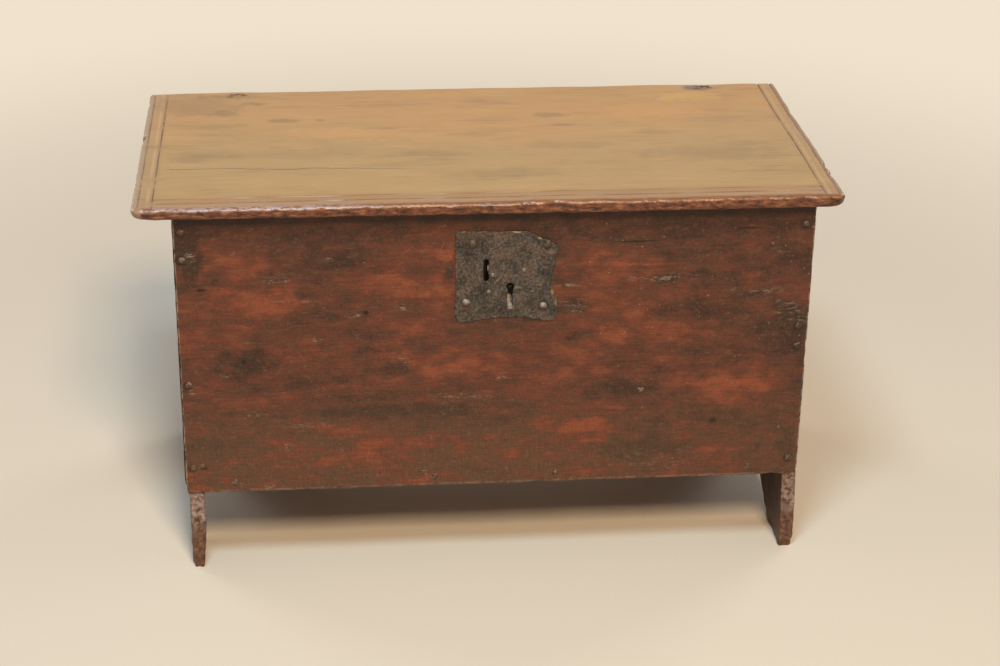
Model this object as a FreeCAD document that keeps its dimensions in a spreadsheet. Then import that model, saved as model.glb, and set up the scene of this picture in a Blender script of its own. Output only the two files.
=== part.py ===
import FreeCAD, Part
import os
import Sketcher

# A boarded coffer chest: front and back boards nailed over two notched end boards that run down
# as feet, a bottom board housed between them, a moulded plank lid on two pairs of linked wire
# pins (snipe hinges), and a hand-forged plate lock.
#
# Frame: millimetres, +X right, +Y back, +Z up. The origin is on the floor under the centre of
# the lid. Carcass pieces are drawn about the middle of the front board's face, lock pieces about
# the key's axis, and the lid about its own centre; each is then placed.

SIZES = (
    ("carcass_length", 820, "front board, end to end"),
    ("carcass_depth", 416, "front face to back face"),
    ("carcass_height", 508, "floor to the top edge of the boards"),
    ("front_thickness", 19, "front board"),
    ("back_thickness", 18, "back board"),
    ("end_thickness", 19, "end boards"),
    ("bottom_thickness", 16, "bottom board"),
    ("panel_foot", 115, "floor to the lower edge of the front and back boards"),
    ("bottom_lift", 6, "underside of the bottom board above the front board's lower edge"),
    ("dado_depth", 5, "housing for the bottom board in each end board"),
    ("foot_setback", 2, "feet behind the faces of the front and back boards"),
    ("foot_flat", 76, "length of one foot on the floor"),
    ("notch_rise", 97, "floor to the point of the V between two feet"),
    ("notch_radius", 5, "rounding at the point of the V"),
    ("toe_radius", 7, "worn outer corner of a foot"),
    ("heel_radius", 4, "worn corner of a foot beside the V"),
    ("foot_wear", 5, "outer face of a foot worn in at the floor"),
    ("foot_wear_rise", 32, "height where that wear begins"),
    ("arris", 1, "eased edge of a board"),
    ("front_overhang", 20, "lid past the front board"),
    ("rear_overhang", 14, "lid past the back board"),
    ("left_overhang", 47, "lid past the left end board"),
    ("right_overhang", 33, "lid past the right end board"),
    ("lid_thickness", 18, "lid plank"),
    ("lid_corner", 10, "front corners of the lid, in plan"),
    ("nosing_top", 7, "rounding of the lid's upper edge"),
    ("nosing_foot", 5, "rounding of the lid's lower edge"),
    ("end_quirk_outer", 8.5, "lid's end to the outer moulding groove"),
    ("end_quirk_inner", 26, "lid's end to the inner moulding groove"),
    ("front_quirk_outer", 21, "lid's front to the outer moulding groove"),
    ("front_quirk_inner", 36, "lid's front to the inner moulding groove"),
    ("quirk_width", 2.6, "moulding groove"),
    ("quirk_depth", 1.7, "moulding groove"),
    ("hinge_inset", 76, "hinges from the ends of the back board"),
    ("hinge_standoff", 3, "hinge axis behind the back board's face"),
    ("hinge_play", 0.3, "lid pin's eye below the lid"),
    ("wire_radius", 1.6, "hinge wire, to the corners of its hammered section"),
    ("wire_pitch", 2.6, "between the two legs of a pin"),
    ("lid_eye", 4.6, "lid pin's eye, to the middle of the wire"),
    ("back_eye", 4.7, "back pin's eye, to the middle of the wire"),
    ("back_slope", 35, "degrees that the back pin's legs slope down"),
    ("clench", 9, "clenched end, from its leg to its point"),
    ("clench_sink", 0.1, "clenched end hammered below the wood's surface"),
    ("clench_point", 6, "point driven back into the wood"),
    ("clench_point_width", 2, "that point, at the clench"),
    ("clench_point_tip", 0.6, "that point, at its tip"),
    ("eye_room", 1.5, "hinge notch past the eye, each side"),
    ("nail_length", 40, "board nail, under the head"),
    ("nail_width", 3.6, "square shank under the head"),
    ("nail_point", 1.2, "square shank at the point"),
    ("nail_head", 4.6, "radius of a board nail's head"),
    ("nail_head_rise", 2.4, "board nail's head"),
    ("nail_inset", 12.5, "nails from the ends of the front and back boards"),
    ("front_left_drop_1", 21, "nail below the top edge, front, left side"),
    ("front_left_drop_2", 59, "second nail below the top edge, front, left side"),
    ("front_left_rise_1", 38, "nail above the lower edge, front, left side"),
    ("front_left_rise_2", 159, "second nail above the lower edge, front, left side"),
    ("front_right_drop_1", 29, "nail below the top edge, front, right side"),
    ("front_right_rise_1", 25, "nail above the lower edge, front, right side"),
    ("front_right_rise_2", 192, "second nail above the lower edge, front, right side"),
    ("front_right_rise_3", 220, "third nail above the lower edge, front, right side"),
    ("back_drop_1", 32, "nail below the top edge, back"),
    ("back_drop_2", 128, "second nail below the top edge, back"),
    ("back_rise_1", 34, "nail above the lower edge, back"),
    ("back_rise_2", 136, "second nail above the lower edge, back"),
    ("bottom_nail_end", 67, "bottom nails from the ends of the front and back boards"),
    ("bottom_nail_gap", 262, "outer to inner bottom nails, front and back"),
    ("bottom_nail_side", 118, "bottom nails from the front and back faces, in the end boards"),
    ("key_offset", 17, "key's axis right of the chest's middle"),
    ("key_drop", 106, "key's axis below the top edge"),
    ("plate_thickness", 2, "lock plate"),
    ("plate_left", 70.5, "plate left of the key"),
    ("plate_right", 53, "plate right of the key, at its waist"),
    ("plate_top", 78, "plate above the key"),
    ("plate_foot", 49, "plate below the key"),
    ("plate_ear", 9.7, "lower right corner standing out past the side"),
    ("plate_ear_left", 1.6, "lower left corner standing out past the side"),
    ("plate_ear_rise", 14, "widest point of those corners above the foot"),
    ("plate_ear_foot", 4.5, "foot of the lower corners past the sides, or inside them on the left"),
    ("plate_left_waist", 32, "where the left corner springs out, above the foot"),
    ("plate_right_waist", 48, "where the right side is narrowest, above the foot"),
    ("plate_right_sweep", 32, "middle of the right side's sweep, above the foot"),
    ("plate_right_sweep_out", 5.6, "that point past the right side"),
    ("plate_arch", 6, "hollow of the lower edge"),
    ("plate_arch_left", 18, "that hollow from the left side"),
    ("plate_arch_right", 9, "that hollow from the right side"),
    ("plate_foot_dip", 0.5, "left corner below the foot, and the hollow's start above it"),
    ("plate_peak_drop", 2, "top edge's fall to where it turns down"),
    ("plate_slope_start", 22, "where the top edge turns down, right of the key"),
    ("plate_slope_drop", 23, "fall of the top edge to the upper right corner"),
    ("plate_slope_out", 8.1, "upper right corner past the right side"),
    ("hasp_slot_offset", 31.2, "hasp slot left of the key"),
    ("hasp_slot_foot", 9, "lower end of the slot above the key"),
    ("hasp_slot_length", 30, "hasp slot"),
    ("hasp_slot_width", 6.8, "hasp slot"),
    ("keyhole_radius", 5, "round part of the keyhole"),
    ("keyhole_tail", 27.5, "foot of the keyhole below the key's axis"),
    ("keyhole_tail_width", 6.2, "straight part of the keyhole"),
    ("mortise_left", 46, "hollow for the works left of the key"),
    ("mortise_right", 38, "hollow for the works right of the key"),
    ("mortise_top", 45, "hollow for the works above the key"),
    ("mortise_foot", 28, "hollow for the works below the key"),
    ("mortise_depth", 14, "hollow for the works into the front board"),
    ("works_gap", 0.3, "running clearance in the lock"),
    ("bolt_thickness", 4.5, "bolt"),
    ("bolt_foot", 19, "lower edge of the bolt above the key"),
    ("bolt_height", 14, "bolt"),
    ("bolt_travel", 11, "bolt's throw"),
    ("bolt_bevel", 2, "cut corners of the bolt's nose"),
    ("bolt_ramp", 4, "start of the tail's rise before the stud's slot"),
    ("bolt_nose", 1.2, "bolt's end showing in the hasp slot"),
    ("bolt_tail", 34.4, "bolt's tail right of the key"),
    ("bit_radius", 24.5, "key bit's sweep"),
    ("talon_width", 6.2, "notch that the key's bit turns in"),
    ("talon_rise", 3, "that notch above the bolt's waist"),
    ("stud_offset", 17.6, "bolt stud right of the key"),
    ("stud_rise", 22.8, "bolt stud above the key"),
    ("stud_radius", 2, "bolt stud's shank"),
    ("stud_cap_radius", 4, "bolt stud's cap"),
    ("strap_thickness", 2, "bolt guide and key bridge"),
    ("guide_offset", 22.6, "bolt guide left of the key"),
    ("guide_width", 5, "bolt guide"),
    ("guide_leg", 3.2, "bolt guide's legs"),
    ("bridge_clearance", 1.1, "key bridge's feet outside the bit's sweep"),
    ("bridge_leg", 4, "key bridge's feet"),
    ("bridge_rivet_rise", 3, "rivet above the key bridge's lower edge"),
    ("bridge_width", 12, "key bridge"),
    ("bridge_foot", 9, "lower edge of the key bridge below the key"),
    ("bridge_height", 12, "key bridge behind the plate"),
    ("key_pin_radius", 1.8, "pin that the key turns on"),
    ("spring_thickness", 0.8, "bolt spring"),
    ("spring_width", 4, "bolt spring"),
    ("spring_lift", 6, "fixed end of the spring above the bolt"),
    ("spring_heel", 10, "fixed part of the spring"),
    ("spring_bearing", 6, "where the spring bears on the bolt, left of the key"),
    ("spring_toe", 5, "turned-up end of the spring"),
    ("spring_toe_rise", 2, "turned-up end of the spring"),
    ("spring_lug", 8, "lug that carries the spring"),
    ("spring_lug_gap", 1.5, "that lug above the bolt"),
    ("spring_rivet_rise", 3.5, "its rivet above the bolt"),
    ("tenon_radius", 1.5, "riveted ends in the plate"),
    ("rivet_head_radius", 2.9, "rivet heads on the plate's face"),
    ("rivet_head_rise", 1.3, "rivet heads on the plate's face"),
    ("plate_nail_low_left", 13.7, "lower left nail from the plate's side"),
    ("plate_nail_low_left_rise", 27.6, "lower left nail above the foot"),
    ("plate_nail_low_right", 10.2, "lower right nail from the plate's side"),
    ("plate_nail_low_right_rise", 21, "lower right nail above the foot"),
    ("plate_nail_top_right", 5.7, "upper right nail from the plate's side"),
    ("plate_nail_top_right_drop", 20.4, "upper right nail below the top"),
    ("plate_nail_top_left", 22.2, "upper left nail from the plate's side"),
    ("plate_nail_top_left_drop", 17, "upper left nail below the top"),
    ("plate_nail_length", 15, "lock plate nail, under the head"),
    ("plate_nail_head", 5.6, "radius of a lock plate nail's head"),
    ("plate_nail_head_rise", 3.6, "lock plate nail's head"),
)

# Expressions worked out from the sheet, for use inside other expressions.
LID_LENGTH = "(dims.carcass_length + dims.left_overhang + dims.right_overhang)"
LID_DEPTH = "(dims.carcass_depth + dims.front_overhang + dims.rear_overhang)"
CARCASS_X = "(dims.left_overhang - dims.right_overhang) / 2"
FRONT_Y = f"(dims.front_overhang - {LID_DEPTH} / 2)"
HALF_LENGTH = "dims.carcass_length / 2"
BOTTOM_UNDERSIDE = "(dims.panel_foot + dims.bottom_lift)"
KEY_X = f"({CARCASS_X} + dims.key_offset)"
KEY_Z = "(dims.carcass_height - dims.key_drop)"
HINGE_DROP = "(dims.lid_eye + dims.wire_radius + dims.hinge_play)"
HINGE_Y = f"({FRONT_Y} + dims.carcass_depth + dims.hinge_standoff)"
HINGE_Z = f"(dims.carcass_height - {HINGE_DROP})"
BOLT_TOP = "(dims.bolt_foot + dims.bolt_height)"
BOLT_BACK = "(dims.works_gap + dims.bolt_thickness)"

X_AXIS = FreeCAD.Vector(1, 0, 0)
Y_AXIS = FreeCAD.Vector(0, 1, 0)
Z_AXIS = FreeCAD.Vector(0, 0, 1)
NO_TURN = FreeCAD.Rotation()
UPRIGHT = FreeCAD.Rotation(X_AXIS, 90)
THROUGH_ALL = 1
CLOSE = 1e-6
SAME_PLACE = 1e-4
SIDES = (("left", -1), ("right", 1))

# Hammered sections are octagons with a flat on each axis. A rose head's crown and the foot of its
# four facets are half-widths, and a rivet head's top is a radius, each for a head of radius 1.
CORNERS = 8
HALF_FACET = FreeCAD.Rotation(Z_AXIS, 180 / CORNERS)
FLAT = f"cos({180 / CORNERS})"
CROWN = 0.34
FACET_FOOT = 1.17
RIVET_TOP = 0.55

doc = FreeCAD.newDocument("coffer_chest")
dims = doc.addObject("Spreadsheet::Sheet", "dims")
nodes = []


def fill_sheet():
    """Write every driving dimension into the sheet, with its alias and its meaning."""
    for row, (alias, size, meaning) in enumerate(SIZES, start=1):
        dims.set(f"A{row}", str(size))
        dims.setAlias(f"A{row}", alias)
        dims.set(f"B{row}", meaning)
    doc.recompute()


def number(expression):
    """What an expression comes to now."""
    return float(dims.evalExpression(expression))


def node(obj, label):
    """Name an object as one of the finished pieces."""
    obj.Label = label
    nodes.append(obj)
    return obj


def place(obj, x="0", y="0", z="0", turn=NO_TURN):
    """Place an object by expressions, with a fixed rotation."""
    obj.Placement = FreeCAD.Placement(FreeCAD.Vector(0, 0, 0), turn)
    for axis, expression in zip("xyz", (x, y, z)):
        obj.setExpression(f"Placement.Base.{axis}", expression)
    return obj


def in_carcass(obj):
    """Place a piece drawn about the middle of the front board's face, at floor level."""
    return place(obj, CARCASS_X, FRONT_Y)


def in_lock(obj):
    """Place a piece drawn about the key's axis, at the front board's face."""
    return place(obj, KEY_X, FRONT_Y, KEY_Z)


# ---- sketches and features ----------------------------------------------------------------


def new_sketch(body, role, offset=None):
    """An empty sketch on one of the body's own origin planes, or parallel to it."""
    sketch = body.newObject("Sketcher::SketchObject", f"{body.Name}_sketch")
    base = next(item for item in body.Origin.OriginFeatures if item.Role == role)
    sketch.AttachmentSupport = (base, "")
    sketch.MapMode = "FlatFace"
    if offset:
        sketch.setExpression("AttachmentOffset.Base.z", offset)
    return sketch


def pin_down(sketch, geometry, vertex, x, y):
    """Hold one point of a sketch at two expressions, measured from its origin."""
    for kind, expression in (("DistanceX", x), ("DistanceY", y)):
        held = Sketcher.Constraint(kind, -1, 1, geometry, vertex, number(expression))
        index = sketch.addConstraint(held)
        sketch.setExpression(f"Constraints[{index}]", expression)


def draw_loop(sketch, corners):
    """A closed outline. A corner is (x, y), or (x, y, via_x, via_y) where an arc leaves it."""
    spots = [FreeCAD.Vector(number(corner[0]), number(corner[1]), 0) for corner in corners]
    edges = []
    for index, corner in enumerate(corners):
        start = spots[index]
        end = spots[(index + 1) % len(corners)]
        if len(corner) == 2:
            edges.append((sketch.addGeometry(Part.LineSegment(start, end), False), 1, 2))
            continue
        via = FreeCAD.Vector(number(corner[2]), number(corner[3]), 0)
        arc = sketch.addGeometry(Part.Arc(start, via, end), False)
        forward = sketch.getPoint(arc, 1).distanceToPoint(start) < CLOSE
        edges.append((arc, 1, 2) if forward else (arc, 2, 1))
        mark = sketch.addGeometry(Part.Point(via), True)
        sketch.addConstraint(Sketcher.Constraint("PointOnObject", mark, 1, arc))
        pin_down(sketch, mark, 1, corner[2], corner[3])
    for index, (edge, first, last) in enumerate(edges):
        following, following_first, _ = edges[(index + 1) % len(edges)]
        sketch.addConstraint(Sketcher.Constraint("Coincident", edge, last, following,
                                                 following_first))
        pin_down(sketch, edge, first, corners[index][0], corners[index][1])


def outline(body, role, *loops, offset=None):
    """A sketch of one or more closed outlines."""
    sketch = new_sketch(body, role, offset)
    for corners in loops:
        draw_loop(sketch, corners)
    return sketch


def rectangle(left, right, low, high):
    """Corners of an upright rectangle."""
    return [(left, low), (right, low), (right, high), (left, high)]


def circle(body, role, x, y, radius, offset=None):
    """A sketch of one circle."""
    sketch = new_sketch(body, role, offset)
    centre = FreeCAD.Vector(number(x), number(y), 0)
    ring = sketch.addGeometry(Part.Circle(centre, Z_AXIS, number(radius)), False)
    index = sketch.addConstraint(Sketcher.Constraint("Radius", ring, number(radius)))
    sketch.setExpression(f"Constraints[{index}]", radius)
    pin_down(sketch, ring, 3, x, y)
    return sketch


def new_body(name):
    """An empty body."""
    return doc.addObject("PartDesign::Body", name)


def pad(body, sketch, length, reverse=False):
    """Raise a sketch along its normal, or against it."""
    feature = body.newObject("PartDesign::Pad", f"{body.Name}_pad")
    feature.Profile = sketch
    feature.Reversed = reverse
    feature.setExpression("Length", length)
    doc.recompute()
    return feature


def pocket(body, sketch, depth=None, reverse=False, both_ways=False):
    """Cut a sketch into the body, right through it if no depth is given."""
    before = body.Shape.Volume
    feature = body.newObject("PartDesign::Pocket", f"{body.Name}_pocket")
    feature.Profile = sketch
    feature.Reversed = reverse
    if both_ways:
        feature.SideType = "Symmetric"
    if depth:
        feature.setExpression("Length", depth)
    else:
        feature.Type = THROUGH_ALL
    doc.recompute()
    if body.Shape.Volume >= before - CLOSE:
        raise RuntimeError(f"{feature.Name} cuts nothing")
    return feature


def loft(body, *sketches):
    """A straight-sided solid from one sketch to the next."""
    feature = body.newObject("PartDesign::AdditiveLoft", f"{body.Name}_loft")
    feature.Profile = sketches[0]
    feature.Sections = list(sketches[1:])
    feature.Ruled = True
    doc.recompute()
    return feature


def dress(body, kind, size, wanted):
    """Fillet or chamfer the edges whose bounding boxes, in the body's own frame, pass a test."""
    base = body.Tip
    found = [f"Edge{index}" for index, edge in enumerate(base.Shape.Edges, start=1)
             if wanted(edge.BoundBox)]
    if not found:
        raise RuntimeError(f"{body.Name} has no edge to {kind.lower()}")
    feature = body.newObject(f"PartDesign::{kind}", f"{body.Name}_{kind.lower()}")
    feature.Base = (base, found)
    feature.setExpression("Radius" if kind == "Fillet" else "Size", size)
    doc.recompute()
    return feature


def near(first, second):
    """Whether two lengths agree."""
    return abs(first - second) < SAME_PLACE


def cut_for(base, label, pieces):
    """A piece with the seats of what is driven into it."""
    tools = doc.addObject("Part::Compound", f"{label}_seats")
    tools.Links = pieces
    cut = doc.addObject("Part::Cut", f"{label}_seated")
    cut.Base = base
    cut.Tool = tools
    return node(cut, label)


# ---- nails ------------------------------------------------------------------------------


def wedge(name, foot, top, low, high):
    """A square taper along Z, between two half-widths at two heights."""
    obj = doc.addObject("Part::Wedge", name)
    for axis in "XZ":
        obj.setExpression(f"{axis}min", f"-{foot}")
        obj.setExpression(f"{axis}max", foot)
        obj.setExpression(f"{axis}2min", f"-{top}")
        obj.setExpression(f"{axis}2max", top)
    obj.setExpression("Ymin", low)
    obj.setExpression("Ymax", high)
    return place(obj, turn=UPRIGHT)


def bar(name, radius, length):
    """An octagonal bar along Z, with its flats on the axes."""
    obj = doc.addObject("Part::Prism", name)
    obj.Polygon = CORNERS
    obj.setExpression("Circumradius", radius)
    obj.setExpression("Height", length)
    return place(obj, turn=HALF_FACET)


def forged_nail(name, length, head_radius, head_rise):
    """A nail pointing down Z, head up: a tapered square shank under a four-faceted rose head."""
    shank = wedge(f"{name}_shank", "dims.nail_point / 2", "dims.nail_width / 2", f"-{length}", "0")
    facets = wedge(f"{name}_facets", f"{head_radius} * {FACET_FOOT}", f"{head_radius} * {CROWN}",
                   "0", head_rise)
    head = doc.addObject("Part::Common", f"{name}_head")
    head.Base = bar(f"{name}_blank", head_radius, head_rise)
    head.Tool = facets
    nail = doc.addObject("Part::Fuse", name)
    nail.Base = head
    nail.Tool = shank
    return nail


FACING = {
    "front": FreeCAD.Rotation(X_AXIS, 90),
    "back": FreeCAD.Rotation(X_AXIS, -90),
    "left": FreeCAD.Rotation(Y_AXIS, -90),
    "right": FreeCAD.Rotation(Y_AXIS, 90),
}


def nail_row(label, nail, facing, places):
    """Copies of a nail with their heads on one face, as one group."""
    copies = []
    for x, y, z in places:
        copy = doc.addObject("App::Link", f"{label}_nail")
        copy.LinkedObject = nail
        copy.LinkTransform = False
        copies.append(place(copy, x, y, z, FACING[facing]))
    row = doc.addObject("Part::Compound", f"{label}_row")
    row.Links = copies
    return node(row, label)


def carcass_nails():
    """Nails through the front and back boards into the ends, and through all four into the bottom."""
    nail = forged_nail("board_nail", "dims.nail_length", "dims.nail_head", "dims.nail_head_rise")
    back_y = f"{FRONT_Y} + dims.carcass_depth"
    drops = {
        "front_left": ("front_left_drop_1", "front_left_drop_2"),
        "front_right": ("front_right_drop_1",),
        "back_left": ("back_drop_1", "back_drop_2"),
        "back_right": ("back_drop_1", "back_drop_2"),
    }
    rises = {
        "front_left": ("front_left_rise_1", "front_left_rise_2"),
        "front_right": ("front_right_rise_1", "front_right_rise_2", "front_right_rise_3"),
        "back_left": ("back_rise_1", "back_rise_2"),
        "back_right": ("back_rise_1", "back_rise_2"),
    }
    rows = {}
    for facing, y in (("front", FRONT_Y), ("back", back_y)):
        for side, sign in SIDES:
            key = f"{facing}_{side}"
            x = f"{CARCASS_X} + {sign} * ({HALF_LENGTH} - dims.nail_inset)"
            heights = [f"dims.carcass_height - dims.{drop}" for drop in drops[key]]
            heights += [f"dims.panel_foot + dims.{rise}" for rise in rises[key]]
            label = f"{facing}_nails_{side}"
            rows[label] = nail_row(label, nail, facing, [(x, y, z) for z in heights])
    z = f"{BOTTOM_UNDERSIDE} + dims.bottom_thickness / 2"
    for facing, y in (("front", FRONT_Y), ("back", back_y)):
        spans = (f"({HALF_LENGTH} - dims.bottom_nail_end)",
                 f"({HALF_LENGTH} - dims.bottom_nail_end - dims.bottom_nail_gap)")
        places = [(f"{CARCASS_X} + {sign} * {span}", y, z) for _, sign in SIDES for span in spans]
        label = f"bottom_nails_{facing}"
        rows[label] = nail_row(label, nail, facing, places)
    for side, sign in SIDES:
        x = f"{CARCASS_X} + {sign} * {HALF_LENGTH}"
        places = [(x, f"{FRONT_Y} + dims.bottom_nail_side", z),
                  (x, f"{back_y} - dims.bottom_nail_side", z)]
        label = f"bottom_nails_{side}"
        rows[label] = nail_row(label, nail, side, places)
    return rows


# ---- carcass ----------------------------------------------------------------------------


def front_board(seats):
    """The front, hollowed behind the lock plate for the works."""
    board = in_carcass(new_body("front_wood"))
    face = rectangle(f"-{HALF_LENGTH}", HALF_LENGTH, "dims.panel_foot", "dims.carcass_height")
    pad(board, outline(board, "XZ_Plane", face), "dims.front_thickness", reverse=True)
    dress(board, "Chamfer", "dims.arris", lambda box: near(box.YMax, 0))
    hollow = rectangle("dims.key_offset - dims.mortise_left", "dims.key_offset + dims.mortise_right",
                       f"{KEY_Z} - dims.mortise_foot", f"{KEY_Z} + dims.mortise_top")
    pocket(board, outline(board, "XZ_Plane", hollow), "dims.mortise_depth")
    return cut_for(board, "front_board", seats)


def back_board(seats):
    """The back, with its upper outer edge notched round each hinge."""
    board = in_carcass(new_body("back_wood"))
    face = rectangle(f"-{HALF_LENGTH}", HALF_LENGTH, "dims.panel_foot", "dims.carcass_height")
    pad(board, outline(board, "XZ_Plane", face, offset="-dims.carcass_depth"), "dims.back_thickness")
    eye_end = "(2 * dims.back_eye + dims.wire_radius)"
    inset = f"({eye_end} * cos(dims.back_slope) - dims.hinge_standoff + dims.hinge_play)"
    notch_foot = f"({HINGE_Z} - {eye_end} * sin(dims.back_slope) - dims.eye_room)"
    half_width = "(dims.back_eye + dims.wire_radius + dims.eye_room)"
    loops = []
    for _, sign in SIDES:
        middle = f"{sign} * ({HALF_LENGTH} - dims.hinge_inset)"
        loops.append(rectangle(f"{middle} - {half_width}", f"{middle} + {half_width}",
                               notch_foot, "dims.carcass_height"))
    notches = outline(board, "XZ_Plane", *loops, offset="-dims.carcass_depth")
    pocket(board, notches, inset, reverse=True)
    return cut_for(board, "back_board", seats)


def end_profile():
    """Side view of an end board: notched for the front and back boards, with a V between its feet."""
    back = "dims.carcass_depth"
    heel = "(dims.foot_setback + dims.foot_flat)"
    return [
        ("dims.front_thickness", "dims.carcass_height"),
        (f"{back} - dims.back_thickness", "dims.carcass_height"),
        (f"{back} - dims.back_thickness", "dims.panel_foot"),
        (f"{back} - dims.foot_setback", "dims.panel_foot"),
        (f"{back} - dims.foot_setback", "0"),
        (f"{back} - {heel}", "0"),
        (f"{back} / 2", "dims.notch_rise"),
        (heel, "0"),
        ("dims.foot_setback", "0"),
        ("dims.foot_setback", "dims.panel_foot"),
        ("dims.front_thickness", "dims.panel_foot"),
    ]


def end_board(side, sign, seats):
    """One end and its two feet."""
    board = in_carcass(new_body(f"{side}_end_wood"))
    outer = f"{sign} * {HALF_LENGTH}"
    profile = outline(board, "YZ_Plane", end_profile(), offset=outer)
    pad(board, profile, "dims.end_thickness", reverse=sign > 0)
    wear = [(outer, "0"), (f"{outer} - {sign} * dims.foot_wear", "0"),
            (outer, "dims.foot_wear_rise")]
    pocket(board, outline(board, "XZ_Plane", wear), both_ways=True)
    inner = f"({outer} - {sign} * dims.end_thickness)"
    housing = rectangle("dims.front_thickness", "dims.carcass_depth - dims.back_thickness",
                        BOTTOM_UNDERSIDE, f"{BOTTOM_UNDERSIDE} + dims.bottom_thickness")
    pocket(board, outline(board, "YZ_Plane", housing, offset=inner), "dims.dado_depth",
           reverse=sign > 0)
    depth = number("dims.carcass_depth")
    setback = number("dims.foot_setback")
    reach = number("dims.foot_setback + dims.foot_flat")
    toes = [setback, depth - setback]
    heels = [reach, depth - reach]
    dress(board, "Fillet", "dims.toe_radius",
          lambda box: near(box.ZMax, 0) and any(near(box.YMin, y) and near(box.YMax, y) for y in toes))
    dress(board, "Fillet", "dims.heel_radius",
          lambda box: near(box.ZMax, 0) and any(near(box.YMin, y) and near(box.YMax, y) for y in heels))
    dress(board, "Fillet", "dims.notch_radius",
          lambda box: near(box.ZMin, number("dims.notch_rise")) and near(box.YMin, depth / 2)
          and near(box.YMax, depth / 2))
    return cut_for(board, f"{side}_end_board", seats)


def bottom_board(seats):
    """The bottom, housed in the ends and nailed through the front and back."""
    board = in_carcass(new_body("bottom_wood"))
    reach = f"({HALF_LENGTH} - dims.end_thickness + dims.dado_depth)"
    plan = rectangle(f"-{reach}", reach, "dims.front_thickness",
                     "dims.carcass_depth - dims.back_thickness")
    pad(board, outline(board, "XY_Plane", plan, offset=BOTTOM_UNDERSIDE), "dims.bottom_thickness")
    return cut_for(board, "bottom_board", seats)


# ---- lid and hinges ---------------------------------------------------------------------


def groove(along, surface):
    """Corners of a V cut into a surface."""
    half = "dims.quirk_width / 2"
    return [(f"{along} - {half}", surface), (f"{along} + {half}", surface),
            (along, f"{surface} - dims.quirk_depth")]


def lid_board(seats):
    """The lid: a plank with a rounded nosing and scratch-moulded grooves on its front and ends."""
    plank = place(new_body("lid_wood"), z="dims.carcass_height")
    half_x = f"{LID_LENGTH} / 2"
    half_y = f"{LID_DEPTH} / 2"
    plan = rectangle(f"-{half_x}", half_x, f"-{half_y}", half_y)
    pad(plank, outline(plank, "XY_Plane", plan), "dims.lid_thickness")
    front, back = -number(half_y), number(half_y)
    dress(plank, "Fillet", "dims.lid_corner",
          lambda box: near(box.YMax, front) and near(box.XLength, 0))

    def rim(level):
        """Edges round the front and the ends at one height, but not along the back."""
        def wanted(box):
            at_back = near(box.YMin, back) and near(box.YMax, back)
            return near(box.ZMin, level) and near(box.ZMax, level) and not at_back
        return wanted

    dress(plank, "Fillet", "dims.nosing_top", rim(number("dims.lid_thickness")))
    dress(plank, "Fillet", "dims.nosing_foot", rim(0))
    end_quirks = [groove(f"{sign} * ({half_x} - {quirk})", "dims.lid_thickness")
                  for _, sign in SIDES for quirk in ("dims.end_quirk_outer", "dims.end_quirk_inner")]
    pocket(plank, outline(plank, "XZ_Plane", *end_quirks), both_ways=True)
    front_quirks = [groove(f"{quirk} - {half_y}", "dims.lid_thickness")
                    for quirk in ("dims.front_quirk_outer", "dims.front_quirk_inner")]
    pocket(plank, outline(plank, "YZ_Plane", *front_quirks),
           f"{LID_LENGTH} - 2 * dims.end_quirk_inner", both_ways=True)
    return cut_for(plank, "lid_board", seats)


def wire_eye(name, radius):
    """Hinge wire bent into a ring about the Y axis."""
    section = doc.addObject("Part::RegularPolygon", f"{name}_section")
    section.Polygon = CORNERS
    section.setExpression("Circumradius", "dims.wire_radius")
    place(section, radius, turn=HALF_FACET)
    ring = doc.addObject("Part::Revolution", name)
    ring.Source = section
    ring.Axis = Y_AXIS
    ring.Solid = True
    return ring


def clenched_leg(name, side, way, eye, reach):
    """One leg of a pin: up Z out of the eye, bent over along a direction, its point turned down."""
    x = f"{side} * dims.wire_pitch / 2"
    leg = bar(f"{name}_leg", "dims.wire_radius", f"{reach} - {eye}")
    place(leg, x, "0", eye, HALF_FACET)
    flat = f"(dims.wire_radius * {FLAT})"
    run = bar(f"{name}_run", "dims.wire_radius", f"{flat} + dims.clench + {flat}")
    place(run, f"{x} - {way.x} * {flat}", f"-{way.y} * {flat}", reach,
          FreeCAD.Rotation(Z_AXIS, way).multiply(HALF_FACET))
    point = wedge(f"{name}_point", "dims.clench_point_tip / 2", "dims.clench_point_width / 2",
                  "-dims.clench_point", "0")
    place(point, f"{x} + {way.x} * dims.clench", f"{way.y} * dims.clench", reach, UPRIGHT)
    return [leg, run, point]


def snipe_pin(label, eye, reach, ways):
    """A hinge pin of bent wire: an eye about Y, and two legs up Z with their ends clenched."""
    pieces = [wire_eye(f"{label}_eye", eye)]
    for side, way in ways:
        name = f"{label}_{'low' if side < 0 else 'high'}"
        pieces += clenched_leg(name, side, way, eye, reach)
    pin = doc.addObject("Part::MultiFuse", f"{label}_wire")
    pin.Shapes = pieces
    return node(pin, label)


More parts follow.
